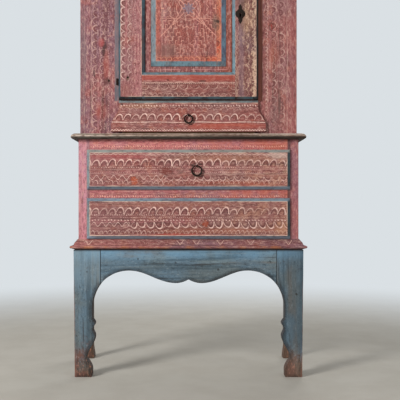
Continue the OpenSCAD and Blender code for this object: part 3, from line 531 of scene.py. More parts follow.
def tick_rail(node, at, tones, orange_from, seed):
    """A rail of the chest with a row of small beads, warmer towards its right end."""
    f = ground(node, "x", seed, tones, 0.8)
    warm = step(f.x, (orange_from - 60) * MM, (orange_from + 60) * MM) * step(f.patch, 0.36, 0.56)
    f.tint(warm, (204, 104, 78), 0.5)
    f.cut([
        row("dashes", at, 9.4, 9, 3, 1.0, seed),
        row("waves", at + 10, 240, 2, 1.8, 0.3),
    ], pale=(244, 184, 160))
    f.rub(amount=0.3)
    return f.close()


def foot_moulding(name, grain, seed):
    """Rose moulding, rubbed to the wood just above its lowest edge, with painted shade along that edge."""
    foot = span_of("base_moulding_front")[0][2]
    f = Finish(name, grain, seed)
    f.mottle((166, 102, 98), (142, 100, 108), (172, 104, 86))
    lip = step(f.z, (foot + 17) * MM, (foot + 11) * MM) * step(f.patch, 0.44, 0.6)
    f.tint(lip, (190, 118, 76), 0.6)
    # Painted shade along the lowest edge, where the moulding meets the stand
    f.tint(step(f.z, (foot + 5) * MM, (foot + 1) * MM), GRIME_AND_SHADE, 0.8)
    if grain == "x":
        f.cut([
            row("vees", foot + 19, 92, 20, 3.2, 0.85, 2),
            row("scallops", foot + 22, 58, 14, 2.6, 0.45, seed),
        ])
    f.corners(DARK_WOOD, 0.5)
    return f.close()


def waist():
    """The worn grey-brown board between chest and cupboard, with painted shade under its nosing."""
    f = ground("waist_board", "x", 4.0, (WAIST_GREY, (118, 110, 94), (150, 112, 90)), 0.8)
    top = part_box("waist_board")[1].z
    f.tint(step(f.broad, 0.42, 0.54) * step(f.spot, 0.36, 0.52), (224, 204, 188), 0.8)
    f.wash(
        (f.broad, 0.43, 0.34, (64, 46, 38), 0.8),
        (noise(mapped(f.place, (5, 160, 160)), 1.0, 4.0, 0.7), 0.6, 0.7, (34, 24, 20), 0.8),
        # Painted shade: the nosing below its top 16 mm, almost black
        (f.z, top - 0.012, top - 0.016, (32, 24, 20), 0.88))
    f.corners((214, 190, 170), 0.5)
    return f.close()


# Drawer fronts
DRAWER_BEVEL = 12.5


def drawer_face(node, tones, seed):
    """Ground of a chest drawer: the finish, the depth in from its bevel, and the height of its top."""
    f = ground(node.removesuffix("_front"), "x", seed, tones)
    low, high = span_of(node)
    depth = f.inside_bevel(low, high, DRAWER_BEVEL)
    worn = step(f.x, 0.0, 0.38) * step(f.patch, 0.34, 0.6)
    f.tint(worn * step(f.spot, 0.4, 0.54, 0.15, 1.0), (200, 152, 126), 0.5)
    f.tint(step(f.x, -0.2, -0.39), MAUVE, 0.35)
    return f, depth, high[2]


def drawer_edge(f, depth, node, lit_top_tone=(176, 172, 160)):
    """The bevel, each side toned for its light: painted light above and on the left, navy below, painted
    shade on the right. Behind the lip the wood is bare.
    """
    low, high = span_of(node)
    f.arris(depth - 0.0012, 2.2, 0.8)
    # Side tones of the bevel: painted light on the left and top, painted shade on the right
    f.sides(f.blue_outside(depth), low[2] + DRAWER_BEVEL, high[2] - DRAWER_BEVEL,
            ((150, 154, 156), 0.5), ((44, 50, 56), 0.6), (lit_top_tone, 0.6), ((142, 152, 172), 0.75))
    f.corners(GRIME_AND_SHADE, 0.35)
    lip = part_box("chest_stile_left")[0].y
    f.unpainted(step(f.y, lip - 0.0012, lip - 0.0004))
    return f.close()


def ring_wear(f, x, z, size):
    """Dark smudges and bare scratches where a ring pull has rubbed."""
    off = length(f.x - x * MM, f.z - z * MM) - size * MM
    smudge = step(abs(off), 0.013, 0.0) * step(f.spot, 0.54, 0.4)
    f.tint(smudge, GRIME_AND_SHADE, 0.75)
    f.area(x, z - size * 0.6, size * 0.7, size * 0.4, (206, 168, 150), 0.35, 1.6)


def upper_drawer():
    node = "upper_drawer_front"
    f, depth, top = drawer_face(node, ((156, 92, 88), (146, 98, 94), (174, 102, 78)), 2.0)
    f.area(-300, top - 30, 120, 12, (170, 72, 70), 0.5)
    f.area(120, top - 35, 200, 14, (180, 124, 94), 0.4)
    f.area(170, top - 138, 190, 14, (186, 88, 62), 0.5)
    f.area(360, top - 25, 46, 14, (216, 190, 176), 0.6)
    f.cut([
        row("waves", -20, 19, 3, 2.4, 0.7),
        row("scallops", -36, 26, 12, 2.2, 0.35, 3, span=(-160, 400)),
        row("scallops", -67, 32.1, 25, 3.1, 1.0, 5),
        row("dashes", -73, 9.2, 5, 3, 0.8, 11),
        row("waves", -81, 150, 2, 2.2, 0.35),
        row("dashes", -92, 8.2, 5, 3, 0.6, 12),
        row("waves", -98, 210, 2, 2.2, 0.45),
        row("waves", -112, 34, 17, 2.8, 0.85, span=(-400, -90)),
        row("scallops", -108, 30, 15, 2.8, 0.7, 15, flip=True, span=(-120, 400)),
        row("scallops", -139, 20, 14, 2.2, 0.6, 21),
        row("waves", -147, 240, 2, 2.6, 0.5),
    ], STRUCK, HOLLOW_SHADE, top)
    f.knot(-90, 818, 24, 14, (118, 54, 46), 0.9, 0.2)
    f.knot(-212, 780, 21, 18, (182, 84, 50), 0.85, 0.3)
    f.area(-30, 820, 26, 12, (104, 84, 76), 0.4, 2.0)
    low, high = span_of("upper_drawer_ring")
    ring_wear(f, (low[0] + high[0]) / 2, (low[2] + high[2]) / 2, 26)
    f.rub(amount=0.35)
    return drawer_edge(f, depth, node)


def lower_drawer():
    node = "lower_drawer_front"
    f, depth, top = drawer_face(node, ((154, 94, 90), (144, 98, 96), (166, 102, 84)), 7.0)
    f.area(-120, top - 26, 330, 9, (172, 112, 90), 0.45)
    f.area(100, top - 130, 260, 12, (176, 104, 76), 0.5)
    f.area(-40, top - 148, 160, 8, (190, 82, 66), 0.55)
    f.area(372, top - 120, 28, 30, (214, 158, 118), 0.5, 2.2)
    f.cut([
        row("scallops", -34, 30, 13, 2.0, 0.25, 2),
        row("scallops", -66, 32.2, 26, 3.0, 1.0, 4),
        row("dashes", -67, 9, 5, 3, 0.9, 8, span=(-400, 20)),
        row("dashes", -77, 8, 4, 3, 0.6, 9),
        row("dashes", -88, 13, 6, 3, 1.0, 10),
        row("scallops", -93, 34, 25, 3.1, 1.0, 12, flip=True, span=(-240, 400)),
        row("waves", -104, 32, 16, 2.8, 0.8, span=(-400, -220)),
        row("scallops", -143, 17, 13, 2.4, 0.5, 14),
        row("waves", -148, 260, 2, 2.6, 0.7),
    ], STRUCK, HOLLOW_SHADE, top)
    f.knot(64, 609, 17, 16, (158, 72, 48), 0.85, 0.3)
    f.rub(amount=0.3)
    # A bluer painted light on the lower drawer's top bevel
    return drawer_edge(f, depth, node, (150, 166, 182))


def small_drawer():
    top = span_of("small_drawer_front")[1][2]
    f = ground("small_drawer", "x", 11.0, ((156, 90, 84), (150, 102, 98), (174, 92, 70)))
    f.area(150, top - 104, 170, 14, (190, 84, 62), 0.6)
    f.area(-190, top - 24, 90, 9, (180, 128, 92), 0.5)
    f.cut([
        row("dashes", -22, 11, 8, 3, 1.0, 1),
        row("scallops", -42, 26, 13, 2.2, 0.45, 3),
        row("scallops", -80, 33, 23, 2.9, 1.0, 5),
        row("waves", -88, 180, 2, 3.4, 0.9),
        row("waves", -120, 11, 4, 3.4, 1.0),
    ], STRUCK, base=top)
    ring_low, ring_high = span_of("small_drawer_ring")
    ring_wear(f, 0, (ring_low[2] + ring_high[2]) / 2, 22)
    f.knot(-266, top - 17, 4, 4, GRIME_AND_SHADE)
    depth = f.depth_in(-2000, 2000, -1, top - 10)
    f.arris(depth - 0.0016, 2.0, 0.7)
    # Painted light on the top bevel, paler than its blue
    f.tint(f.blue_outside(depth), (150, 150, 146), 0.45)
    f.rub(amount=0.25)
    f.corners(GRIME_AND_SHADE, 0.5)
    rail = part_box("cupboard_stile_left")[0].y
    f.unpainted(step(f.y, rail + 0.0002, rail + 0.001))
    return f.close()


# Uprights beside the door
def cupboard_stile(node, side, tones, marks, seed):
    """Painted upright with a band beside the door: grey on the left; on the lock side the band is brown,
    painted in the door's shadow.
    """
    f = ground(node, "z", seed, tones)
    f.cut(upright(marks), pale=(212, 170, 158))
    inner = span_of("cupboard_stile_right")[0][0]
    door_foot = span_of("door_stile_right")[0][2]
    reach = f.x * float(side)
    band = (step(reach, (inner + 31.5) * MM, (inner + 30.5) * MM)
            * step(f.z, (door_foot - 8) * MM, (door_foot - 2) * MM))
    # The right-hand tones in these three lines are painted shadow from the door
    f.tint(band, (128, 119, 125) if side < 0 else (158, 94, 78), 0.85)
    f.tint(band * step(f.grain, 0.46, 0.6), BLUE_SHADE if side < 0 else (72, 44, 38), 0.4)
    f.tint(band * step(f.spot, 0.52, 0.62), (170, 120, 112) if side < 0 else (150, 84, 66), 0.4)
    # Painted shade next to the door's edge
    f.tint(step(reach, (inner + 17) * MM, (inner + 12) * MM), GRIME_AND_SHADE, 0.75)
    return f


def close_stile(f, node):
    """Wear and bare back of an upright, once its knots and patches are in."""
    f.rub(GREY_WOOD, 0.3)
    f.corners()
    f.unpainted_back(node)
    return f.close()


def stile_left():
    node = "cupboard_stile_left"
    f = cupboard_stile(node, -1, ((153, 99, 103), (137, 95, 105), (170, 95, 87)), [
        row("waves", -419, 300, 2, 2.4, 0.55),
        row("waves", -391, 260, 2, 2.4, 0.6),
        row("dashes", -386, 9, 3, 3, 0.4, 2),
        row("scallops", -366, 32, 19, 2.8, 0.85, 5, flip=True),
        row("scallops", -338, 32, 17, 2.4, 0.65, 8, flip=True),
        row("dashes", -322, 10, 5, 3, 0.8, 3),
    ], 3.0)
    f.knot(-340, 1316, 8, 26, GRIME_AND_SHADE, 0.7)
    f.area(-352, 1338, 14, 20, (176, 70, 68), 0.7)
    f.area(-330, 1240, 14, 70, (178, 84, 66), 0.45)
    f.area(-350, 1060, 34, 40, (172, 82, 66), 0.55)
    f.area(-425, 1200, 14, 300, (104, 92, 98), 0.5)
    f.knot(-380, 1216, 5, 12, GRIME_AND_SHADE, 0.6)
    f.area(-325, 1182, 16, 18, GRIME_AND_SHADE, 0.7)
    return close_stile(f, node)


def stile_right():
    node = "cupboard_stile_right"
    f = cupboard_stile(node, 1, ((170, 105, 101), (160, 110, 110), (186, 108, 90)), [
        row("scallops", 308, 15, 10, 2.6, 0.85, 1),
        row("scallops", 334, 33, 18, 3.0, 0.85, 4),
        row("scallops", 366, 32, 18, 3.0, 0.8, 6),
        row("dashes", 358, 9, 4, 3, 0.45, 9),
        row("waves", 396, 300, 2, 2.6, 0.7),
        row("dashes", 410, 12, 5, 3, 0.4, 12),
    ], 9.0)
    f.knot(334, 1406, 11, 18, (150, 56, 52), 0.8)
    f.area(345, 1290, 22, 60, (180, 96, 70), 0.45)
    f.area(420, 1250, 16, 300, (160, 80, 84), 0.4)
    f.area(355, 1060, 30, 70, (112, 92, 92), 0.4)
    return close_stile(f, node)


# Door
DOOR_BEVEL = 8
PANEL_BEVEL = 11
PANEL_GROOVE = 9
PANEL_MARGIN = 25
PANEL_SLOPE = 19


def door_wood(node, grain, tones, marks, seed, pale=PALE_CUT):
    """A stile or rail of the door: ground and marks, with the blue bevels still to come."""
    f = ground(node, grain, seed, tones)
    f.cut(upright(marks) if grain == "z" else marks, pale)
    return f


def door_bevels(f):
    """Blue on the door's outer bevel and on the bevel round the panel, each side toned by the light it
    catches: painted shade on the door's right side and underside and where the panel's bevel faces right or
    down, painted light where it faces left or up.
    """
    low, high = span_of("door_stile_left")[0], span_of("door_stile_right")[1]
    outer = f.inside_bevel(low, high, DOOR_BEVEL)
    p_low, p_high = span_of("door_panel")
    inner = f.inside_bevel(p_low, p_high, PANEL_GROOVE - PANEL_BEVEL) * -1.0
    f.arris(inner - 0.001, 1.8, 0.45)
    f.arris(outer - 0.001, 2.0, 0.65)
    # Side tones of the bevels: painted light and painted shade
    f.sides(f.blue_outside(outer, PANEL_BLUE), low[2] + DOOR_BEVEL, high[2] - DOOR_BEVEL,
            ((48, 60, 66), 0.8), ((54, 38, 30), 0.85), None, ((30, 22, 20), 0.85))
    f.sides(f.blue_outside(inner, PANEL_BLUE), p_low[2] + PANEL_GROOVE, p_high[2] - PANEL_GROOVE,
            ((40, 54, 62), 0.5), ((132, 156, 166), 0.55), ((48, 62, 70), 0.4), ((134, 158, 164), 0.6))
    # Painted shadow along the door's right edge
    lock_side = high[0] - DOOR_BEVEL
    f.tint(step(f.x, (lock_side - 0.5) * MM, (lock_side + 0.5) * MM), (44, 33, 28), 0.75)
    f.corners(GRIME_AND_SHADE, 0.4)
    f.unpainted_back("door_stile_left", 1.2)
    return f.close()


def door_left():
    f = door_wood("door_stile_left", "z", ((160, 98, 96), (152, 104, 106), (176, 104, 90)), [
        row("scallops", -252, 32, 17, 3.8, 1.0, 2, flip=True, span=(1185, 1900)),
        row("scallops", -226, 32, 15, 2.6, 0.75, 5, flip=True, span=(1195, 1900)),
        row("dashes", -213, 10, 4, 3, 0.75, 7, span=(1200, 1900)),
        row("waves", -192, 13, 3, 2.2, 0.35),
    ], 5.0, (232, 196, 184))
    f.knot(-242, 1190, 6, 9, (96, 72, 52), 0.8)
    f.area(-250, 1140, 22, 26, (150, 92, 84), 0.5)
    f.rub(amount=0.3)
    return door_bevels(f)


def door_right():
    f = door_wood("door_stile_right", "z", ((144, 90, 86), (138, 102, 104), (160, 104, 84)), [
        row("waves", 190, 15, 5, 2.4, 0.6),
        row("scallops", 208, 31, 14, 2.4, 0.5, 3, flip=True),
        row("scallops", 226, 31, 14, 2.6, 0.6, 6),
        row("scallops", 252, 16, 13, 3.4, 0.95, 8),
    ], 6.0, (218, 186, 160))
    f.tint(step(f.x, 0.196, 0.206) * step(f.x, 0.226, 0.216), (130, 104, 112), 0.45)
    f.area(232, 1420, 24, 60, (180, 142, 108), 0.5, 2.6)
    f.area(210, 1490, 22, 50, (98, 72, 60), 0.5, 2.2)
    flecks = noise(mapped(f.place, (150, 150, 70)), 1.0, 3.0, 0.7)
    f.tint(step(f.x, 0.2, 0.235) * step(flecks, 0.54, 0.62), (226, 186, 158), 0.7)
    f.tint(step(f.x, 0.2, 0.235) * step(flecks, 0.45, 0.38), (84, 48, 44), 0.6)
    rubbed = step(f.x, 0.24, 0.264) * step(f.patch, 0.36, 0.58) * step(f.spot, 0.47, 0.54)
    f.tint(rubbed, (226, 190, 160), 0.8)
    f.tint(step(f.x, 0.236, 0.25) * step(f.grain, 0.46, 0.36), (96, 60, 50), 0.7)
    f.rub(amount=0.4)
    return door_bevels(f)


def door_rail(node, lower):
    """A rail of the door; the marks of the lower one are those of the upper one, turned over."""
    low, high = span_of(node)
    inner = high[2] - PANEL_BEVEL if lower else low[2] + PANEL_BEVEL
    s = -1 if lower else 1
    f = door_wood(node, "x", ((150, 88, 82), (140, 92, 88), (164, 90, 74)), [
        row("dashes", inner + s * 4, 5, 3, 3, 0.8, 1),
        row("waves", inner + s * 31, 46, 3, 3.0, 0.85),
        row("dashes", inner + s * 35, 8, 5, 3, 0.8, 2),
        row("scallops", inner + s * 40, 40, 17, 2.6, 0.7, 4, flip=lower),
        row("scallops", inner + s * (88 if lower else 68), 21, 14, 2.4, 0.6, 6, flip=not lower),
    ], 8.0)
    near = step((f.z - inner * MM) * float(s), 0.032, 0.014)
    f.tint(near, (186, 78, 60), 0.55)
    f.knot(-82, inner + s * 20, 4, 3, GRIME_AND_SHADE)
    f.knot(58, inner + s * 24, 12, 3, GRIME_AND_SHADE, 0.7)
    joint = abs(f.x) - (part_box("door_stile_right")[0].x + 0.001)
    f.tint(line(joint, 0.0012), GRIME_AND_SHADE, 0.35)
    f.rub(amount=0.25)
    return door_bevels(f)


def stepped(dx, dz, size, width):
    """A diamond with stepped sides: its risers and its treads."""
    rise, slant = 0.016, 0.62
    level = maths("FLOOR", dz / rise) * rise
    side = size - level * slant - dx
    riser = line(side, width)
    into = dz - level
    tread = (line(into - width, width * 1.2) * step(side, -0.001, 0.0)
             * step(side, rise * slant + 0.001, rise * slant))
    return highest(riser, tread) * step(dx, 0.0, 0.002)


def panel():
    """Raised field with a star struck in it, orange along its sides; a blue slope with painted light on its
    left and painted shade on its right; a dull red margin with painted shade in the groove by the frame.
    """
    low, high = span_of("door_panel")
    centre = (low[2] + high[2]) / 2
    edge = PANEL_GROOVE + PANEL_MARGIN + PANEL_SLOPE
    field_x, field_z = high[0] - edge, high[2] - edge - centre
    f = ground("door_panel", "z", 19.0, ((158, 88, 80), (146, 96, 94), (172, 88, 74)))
    depth = f.depth_in(-field_x, field_x, centre - field_z, centre + field_z)
    ragged = depth + (f.patch - 0.5) * 0.02
    border = (step(ragged, 0.026, 0.012) * step(f.x, 0.06, 0.11, 0.4, 1.0)
              * step(f.spot, 0.38, 0.5, 0.35, 1.0) * step(f.cloud, 0.36, 0.5, 0.5, 1.0))
    f.tint(border, (218, 96, 62), 0.8)
    f.tint(step(f.x, 0.108, 0.118) * step(f.patch, 0.44, 0.6), (222, 150, 120), 0.5)
    up = f.z - centre * MM
    dx, dz = abs(f.x), abs(up)
    reach = length(f.x, up)
    angle = maths("ARCTAN2", up, f.x)
    sector = maths("PINGPONG", angle + math.pi * 1.25, math.pi / 4)
    off_ray = maths("SINE", sector) * reach
    flower_edge = reach - (0.022 + maths("COSINE", angle * 8.0) * 0.006)
    f.tint(step(flower_edge, 0.002, -0.004) * step(f.spot, 0.34, 0.5), (134, 128, 142), 0.65)
    rays = line(off_ray, 0.0019) * step(reach, 0.19, 0.176) * step(reach, 0.02, 0.026)
    petals = (line(off_ray - (0.1 - reach) * 0.22, 0.0014)
              * step(reach, 0.1, 0.09) * step(reach, 0.02, 0.026))
    wavy = 0.076 + maths("SINE", angle * 20.0) * 0.004
    rings = highest(line(reach - 0.048, 0.0014), line(reach - wavy, 0.0014))
    diamonds = highest(*(stepped(dx, dz, size, width)
                         for size, width in ((0.108, 0.0013), (0.132, 0.0013), (0.156, 0.0011))))
    bars = line(dz - 0.04, 0.0015) * step(dx, 0.03, 0.04, 0.45, 1.0)
    star = (highest(rays, petals, rings, diamonds, bars, line(flower_edge, 0.0014))
            * step(depth, 0.016, 0.022) * step(noise(f.place, 120.0, 2.0), 0.34, 0.5)
            * step(f.patch, 0.3, 0.52, 0.3, 1.0))
    f.tint(star, (224, 160, 142), 0.95)
    f.height = f.height - star * 0.8
    ends = (centre - field_z + 12, centre + field_z - 12)
    f.cut(upright([
        row("scallops", -field_x + 6, 32, 14, 2.8, 0.9, 3, flip=True, span=ends),
        row("scallops", field_x - 20, 32, 14, 2.8, 0.8, 5, span=ends),
    ]) + [
        row("scallops", centre - field_z + 4, 22, 12, 2.6, 0.75, 7),
        row("dashes", centre - field_z + 22, 7, 4, 3, 0.5, 8),
        row("scallops", centre + field_z - 4, 22, 12, 2.6, 0.75, 9, flip=True),
        row("dashes", centre + field_z - 22, 7, 4, 3, 0.5, 10),
    ], pale=(226, 150, 118))
    f.area(-90, centre - 170, 60, 30, (128, 92, 84), 0.6)
    f.area(110, centre - 60, 18, 40, (106, 92, 80), 0.6)
    f.knot(113, centre - 52, 8, 6, GRIME_AND_SHADE)
    margin = step(depth, -0.0188, -0.0196)
    f.colour = mix(margin * 0.9, f.colour, (146, 88, 86))
    f.wash(
        (f.x, 0.1, 0.16, (162, 86, 64), 0.6),
        (f.broad, 0.5, 0.6, MAUVE, 0.6),
        (f.spot, 0.5, 0.38, DEEP_RED, 0.7),
        (f.spot, 0.52, 0.64, PALE_CUT, 0.5),
        (f.grain, 0.44, 0.34, GRIME_AND_SHADE, 0.6), within=margin)
    f.tint(margin * line(depth + 0.031, 0.0016) * step(f.patch, 0.42, 0.56), (222, 160, 156), 0.6)
    f.arris(depth - 0.0012, 1.6, 0.35)
    slope = (PANEL_SLOPE + 0.2) * MM
    # Side tones of the slope: painted light on the left and top, painted shade on the right
    f.sides(f.blue_outside(depth, PANEL_BLUE, -slope), centre - field_z, centre + field_z,
            ((160, 168, 172), 0.55), ((56, 74, 108), 0.55), ((140, 156, 160), 0.3), ((112, 146, 154), 0.35))
    # Painted shade at the foot of the slope and in the groove beside the frame
    f.tint(line(depth + slope, 0.0016), GRIME_AND_SHADE, 0.6)
    f.tint(step(depth, -0.04, -0.043), GRIME_AND_SHADE, 0.75)
    f.rub(amount=0.2)
    f.unpainted_back("door_panel", 3.0)
    return f.close()


# Stand, bare wood and iron
STAND_SHEEN = dict(rough=(0.55, 0.8), specular=0.3, bump=0.5)


def stand(name, grain, seed):
    """Grey-blue distemper over pine, streaked with dirt, worn to red-brown at the feet and edges, with
    painted shade on its undersides, inner faces and inner edges.
    """
    f = Finish(name, grain, seed)
    f.colour = mix(step(f.cloud, 0.4, 0.6), STAND_BLUE, STAND_GREY)
    f.wash(
        (f.patch, 0.54, 0.7, (126, 160, 182), 0.5),
        (f.broad, 0.5, 0.36, BLUE_SHADE, 0.8),
        (f.grain, 0.5, 0.66, (136, 150, 152), 0.45))
    low_dirt = step(f.z + (f.cloud - 0.5) * 0.22, 0.5, 0.43)
    f.tint(low_dirt * step(f.broad, 0.36, 0.56, 0.25, 1.0), (92, 88, 78), 0.55)
    foot = step(f.z + (f.patch - 0.5) * 0.3, 0.13, 0.03)
    f.tint(foot, FOOT_RED, 0.85)
    f.tint(step(f.z, 0.16, 0.06) * step(f.spot, 0.5, 0.42), (112, 70, 50), 0.75)
    f.tint(step(f.z, 0.12, 0.04) * step(f.patch, 0.5, 0.62), (92, 82, 68), 0.6)
    f.tint(step(f.broad, 0.52, 0.62) * step(f.cloud, 0.4, 0.54), (120, 108, 96), 0.6)
    f.wash(
        (f.spot, 0.46, 0.3, (48, 54, 58), 0.7),
        (f.spot, 0.57, 0.7, (150, 164, 170), 0.45),
        (f.grain, 0.42, 0.32, GRIME_AND_SHADE, 0.7),
        (f.fine, 0.6, 0.7, GRIME_AND_SHADE, 0.55),
        (noise(f.place, 48.0, 4.0, 0.72), 0.62, 0.7, DARK_WOOD, 0.6))
    f.tint(step(f.z, 0.455, 0.495) * step(f.patch, 0.36, 0.56, 0.4, 1.0), (124, 168, 198), 0.45)
    apron_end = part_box("stand_leg_front_right")[0].x
    past_apron = step(abs(f.x), apron_end - 0.014, apron_end - 0.01)
    off_joint = 1.0 - past_apron * step(f.z, 0.37, 0.385)
    outer = step(abs(f.x), 0.44, 0.45)
    inner_edge = off_joint * (1.0 - outer) * step(f.z, 0.492, 0.484)
    # Dark worn arris along the arches and inner edges, which also stands in as painted shade for the
    # undersides seen there
    f.corners((30, 24, 20), 1.0, 26.0, 0.8, inner_edge, (0.998, 0.972))
    f.corners((152, 96, 70), 0.75, 9.0, 0.2, outer * step(f.z, 0.42, 0.36))
    # Painted shade on faces that look down; the inner cut faces are bare dark wood with painted shade on it
    inward = f.facing(0) * step(f.x, -0.001, 0.001, 1.0, -1.0)
    f.tint(highest(step(inward, 0.35, 0.6), step(f.facing(2), -0.35, -0.6)), (52, 37, 30), 0.92)
    f.tint(step(f.y, 0.1, 0.14) * step(f.patch, 0.36, 0.52, 0.5, 1.0), (92, 70, 54), 0.7)
    f.tint(step(f.z, 0.1, 0.05) * step(f.spot, 0.56, 0.64), (184, 120, 88), 0.6)
    return f


def stand_front(name, grain, seed, knots, darker=None):
    """The stand's front pieces: knots, a darker stretch, the dark joints of apron and legs, and painted
    shade along the top.
    """
    f = stand(name, grain, seed)
    if darker:
        f.tint(step(f.x, *darker) * step(f.z, 0.07, 0.15), (64, 80, 90), 0.5)
    f.tint(step(f.x, -0.348, -0.352) * step(f.z, 0.34, 0.42), (142, 166, 180), 0.3)
    f.tint(step(f.x, 0.3, 0.36) * step(f.z, 0.12, 0.06), (136, 106, 88), 0.22)
    for x, z in knots:
        f.knot(x, z, 4, 4, GRIME_AND_SHADE, 0.8)
    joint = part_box("stand_leg_front_right")[0].x
    f.tint(line(f.x + joint, 0.0016) * step(f.z, 0.36, 0.38), (20, 20, 24), 0.95)
    f.tint(line(f.x - joint, 0.0014) * step(f.patch, 0.45, 0.6), (30, 34, 38), 0.6)
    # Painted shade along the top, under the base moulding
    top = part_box("stand_front_apron")[1].z
    f.tint(step(f.z, top - 0.01, top - 0.001), GRIME_AND_SHADE, 0.75)
    return f.close(**STAND_SHEEN)


def bare(name, grain, seed, tone=PALE_PINE, planks=None):
    """Unpainted pine darkened by age, its rings drawn out along it, each plank of its own tone."""
    f = Finish(name, grain, seed)
    rings = noise(mapped(f.place, [c * 0.5 for c in GRAINS[grain]]), 1.0, 2.0, 0.5, 1.6)
    f.colour = mix(step(f.cloud, 0.36, 0.64), tone, AGED_PINE)
    f.wash(
        (rings, 0.46, 0.54, (122, 88, 56), 0.55),
        (f.grain, 0.48, 0.34, DARK_WOOD, 0.5),
        (f.broad, 0.6, 0.72, GREY_WOOD, 0.5),
        (f.fine, 0.6, 0.72, GRIME_AND_SHADE, 0.3))
    if planks:
        across, start, width = planks
        place = f.x if across == "x" else f.z
        inside, r1, r2, _ = cells(place - start, width, seed + 4.0)
        f.wash(
            (r1, 0.3, 0.8, (104, 78, 56), 0.4),
            (r2, 0.4, 0.9, (158, 140, 118), 0.4),
            (abs(inside), 0.5 - 0.003 / width, 0.5 - 0.0012 / width, GRIME_AND_SHADE, 0.85))
    f.corners((196, 168, 128), 0.3)
    return f.close((0.7, 0.9), 0.2, 0.4)


def forged_iron():
    f = Finish("forged_iron", "z", 23.0)
    f.colour = mix(step(f.patch, 0.4, 0.6), IRON_BLACK, (40, 34, 30))
    f.wash(
        (f.fine, 0.54, 0.68, IRON_RUST, 0.6),
        (f.spot, 0.62, 0.72, (104, 66, 44), 0.35))
    f.height = noise(f.place, 210.0, 3.0)
    return f.close((0.6, 0.9), 0.1, 0.6, 0.001)


# Every carried node gets its finish
def dress(material, *names):
    """Give a finish to some nodes, or to the one that it is named after."""
    for name in names or [material.name.split("_paint")[0]]:
        mesh = nodes[name].data
        mesh.materials.clear()
        mesh.materials.append(material)


case_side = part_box("cupboard_side_right")[1].x / MM
rail_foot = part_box("cupboard_top_rail")[0].z / MM
red_upright = red_boards("case_red_upright", "z", 13.0, inside=case_side - 4)
red_struck = red_boards("cupboard_top_rail_paint", "x", 18.0, marks=[
    row("dashes", rail_foot + 16, 9, 6, 3, 0.9, 3),
    row("scallops", rail_foot + 26, 33, 22, 3.0, 0.9, 5),
    row("waves", rail_foot + 22, 200, 2, 2.6, 0.7),
    row("waves", rail_foot + 60, 12, 4, 2.6, 0.8),
])
red_level = red_boards("case_red_level", "x", 14.0)
red_deep = red_boards("case_red_deep", "y", 15.0)
iron = forged_iron()
pine_x = bare("bare_pine_level", "x", 1.0)
pine_y = bare("bare_pine_deep", "y", 2.0)
low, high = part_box("cupboard_back_planks")
back_upright = bare("cupboard_back_pine", "z", 5.0, BACK_PINE, ("x", low.x, (high.x - low.x) / 5))
low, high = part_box("chest_back_planks")
back_level = bare("chest_back_pine", "x", 6.0, BACK_PINE, ("z", low.z, (high.z - low.z) / 3))

dress(stand_front("stand_blue_left", "z", 1.0, [(-404, 420)]),
      "stand_leg_front_left", "stand_leg_rear_left")
dress(stand_front("stand_blue_right", "z", 2.0, [(430, 330)], (0.30, 0.46)),
      "stand_leg_front_right", "stand_leg_rear_right")
dress(stand_front("stand_blue_apron", "x", 3.0, [(-52, 456), (118, 430), (-200, 470)]),
      "stand_front_apron", "stand_rear_rail")
dress(stand("stand_blue_side", "y", 4.0).close(**STAND_SHEEN), "stand_side_aprons")
dress(red_upright, "chest_side_left", "chest_side_right", "cupboard_side_left", "cupboard_side_right")
dress(red_level, "cupboard_middle_rail", "chest_bottom_rail", "cornice_front")
dress(red_struck)
dress(red_deep, "cornice_returns")
# The left stile's tones are lighter and the right one's darker: painted light and painted shade on the same
# paint
dress(chest_stile("chest_stile_left", -1, ((216, 142, 150), (204, 142, 156), (214, 138, 134)), 16.0))
dress(chest_stile("chest_stile_right", 1, ((178, 108, 110), (166, 110, 118), (184, 108, 98)), 17.0))
dress(tick_rail("chest_top_rail", 920, ((204, 118, 118), (196, 126, 134), (206, 122, 106)), 60, 21))
dress(tick_rail("chest_middle_rail", 720, ((190, 110, 112), (172, 116, 122), (196, 114, 92)), 150, 23))
dress(foot_moulding("base_moulding_front_paint", "x", 31))
dress(foot_moulding("base_moulding_return_paint", "y", 33), "base_moulding_returns")
for finish in (waist, stile_left, stile_right, door_left, door_right):
    dress(finish())
dress(door_rail("door_bottom_rail", True))
dress(door_rail("door_top_rail", False))
dress(panel())
dress(upper_drawer(), "upper_drawer_front")
dress(lower_drawer(), "lower_drawer_front")
dress(small_drawer(), "small_drawer_front")
dress(pine_x, "chest_bottom_board", "cupboard_bottom_board", "cupboard_floor", "cupboard_top_board",
      "shelf")
dress(pine_y, "drawer_runners", "shelf_battens")
for drawer in ("upper_drawer", "lower_drawer", "small_drawer"):
    dress(pine_x, drawer + "_back", drawer + "_bottom")
    dress(pine_y, drawer + "_sides")
dress(back_upright, "cupboard_back_planks")
dress(back_level, "chest_back_planks")
dress(iron, "escutcheon", "lock_case", "lock_bolt", "hinge_pintles", "hinge_eyes", "upper_drawer_staple",
      "upper_drawer_ring", "small_drawer_staple", "small_drawer_ring")


# Shaping with Blender's own tools
SAME_PLACE = 0.00002
LAST_CUT = 0.004
FLAT, SHARP, SMOOTH = (math.radians(angle) for angle in (0.6, 28, 32))


def deselect():
    bpy.ops.object.select_all(action="DESELECT")


def made(operator, **settings):
    """A new mesh object, made by one of Blender's operators, its turn and place put in the mesh."""
    deselect()
    operator(**settings)
    bpy.ops.object.transform_apply(location=True, rotation=True, scale=True)
    return bpy.context.object


def into_scene(name, data):
    item = bpy.data.objects.new(name, data)
    bpy.context.scene.collection.objects.link(item)
    return item


def take_up(piece):
    """Make a piece the only selected one, and the active one."""
    deselect()
    piece.select_set(True)
    bpy.context.view_layer.objects.active = piece


def into_edit(piece):
    take_up(piece)
    bpy.ops.object.mode_set(mode="EDIT")
    bpy.ops.mesh.select_all(action="SELECT")


